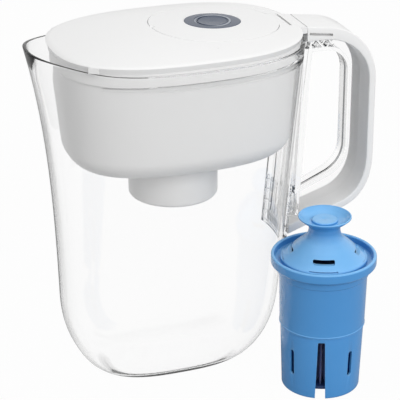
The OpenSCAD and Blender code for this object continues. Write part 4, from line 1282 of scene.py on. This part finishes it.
# ---- studio ----
def make_floor():
    """A pale floor that keeps the object's shadow and shows nearly white."""
    half = FLOOR_HALF / MM
    corners = [(-half, -half, 0), (half, -half, 0), (half, half, 0), (-half, half, 0)]
    floor = new_piece("studio_floor", corners, [(0, 1, 2, 3)])
    floor.location.z = -FLOOR_DROP
    material, w, shader = new_finish("studio_floor", roughness=0.9)
    cloud = w.texture("ShaderNodeTexNoise", {"Scale": 3.0, "Detail": 2.0})
    w.link(w.blend(cloud.outputs["Fac"], grey(0.5), grey(0.52)), shader.inputs["Base Color"])
    ray = w.add("ShaderNodeLightPath").outputs
    seen = w.math("MAXIMUM", ray["Is Camera Ray"], ray["Is Transmission Ray"])
    glow = w.add("ShaderNodeEmission", {"Color": (1, 1, 1, 1), "Strength": 1.0})
    w.show(w.math("MULTIPLY", seen, FLOOR_GLOW), shader, glow)
    floor.data.materials.append(material)


def make_world():
    """Soft light, stronger from above. Gloss sees a white room, with darker gaps high up between boxes."""
    world = bpy.data.worlds.new("studio")
    bpy.context.scene.world = world
    world.use_nodes = True
    w = Wiring(world.node_tree)
    w.tree.nodes.clear()
    way = w.axes(w.add("ShaderNodeTexCoord").outputs["Generated"])
    ray = w.add("ShaderNodeLightPath").outputs
    high = w.remap(way["Z"], 0.4, 0.55)
    around = w.math("ARCTAN2", way["Y"], way["X"])
    boxes = w.remap(w.math("SINE", w.math("MULTIPLY", around, 2.0)), -0.2, 0.5)
    overhead = w.remap(way["Z"], 0.8, 0.92)
    gaps = w.math("MULTIPLY", high, w.math("SUBTRACT", 1.0, w.math("MAXIMUM", boxes, overhead)))
    gaps = w.math("MULTIPLY", gaps, w.math("SUBTRACT", 1.0, ray["Is Transmission Ray"]))
    room = w.remap(gaps, 0.0, 1.0, 1.0, GAP_LEVEL)
    seen = w.math("MAXIMUM", ray["Is Glossy Ray"], ray["Is Transmission Ray"])
    level = w.choose(seen, w.remap(way["Z"], 0.0, 1.0, *WORLD_LEVELS), room)
    back = w.add("ShaderNodeBackground", {"Color": (1, 1, 1, 1)})
    w.link(w.choose(ray["Is Camera Ray"], level, 1.0), back.inputs["Strength"])
    out = w.add("ShaderNodeOutputWorld")
    w.link(back.outputs[0], out.inputs["Surface"])


def soft_box(name, place, aim, size, watts, mirrored=True):
    """A soft lamp. Clear walls never show its shape, and gloss shows it only where it is mirrored."""
    lamp = bpy.data.lights.new(name, "AREA")
    lamp.shape = "RECTANGLE"
    lamp.size, lamp.size_y = size
    lamp.energy = watts
    holder = add_to_scene(name, lamp)
    holder.location = place
    holder.rotation_euler = facing(place, aim)
    holder.visible_glossy = mirrored
    holder.visible_transmission = False


def make_studio():
    make_floor()
    make_world()
    soft_box("key_light", (0.4, -2.1, 1.4), (0, 0, 0.15), (1.2, 1.2), KEY_WATTS, mirrored=False)
    soft_box("top_light", (0.0, 0.3, 2.2), (0, 0, 0.2), (1.6, 1.2), TOP_WATTS)
    bpy.context.scene.view_settings.view_transform = "Standard"


place_camera()
make_studio()
finishes = make_finishes()
dress_nodes(finishes)
make_jug(finishes)
make_tank(finishes)
make_lid(finishes)
make_door(finishes)
make_indicator(finishes)
make_strap(finishes)
make_filter_housing(finishes)
make_filter_basket(finishes)
make_filter_cap(finishes)
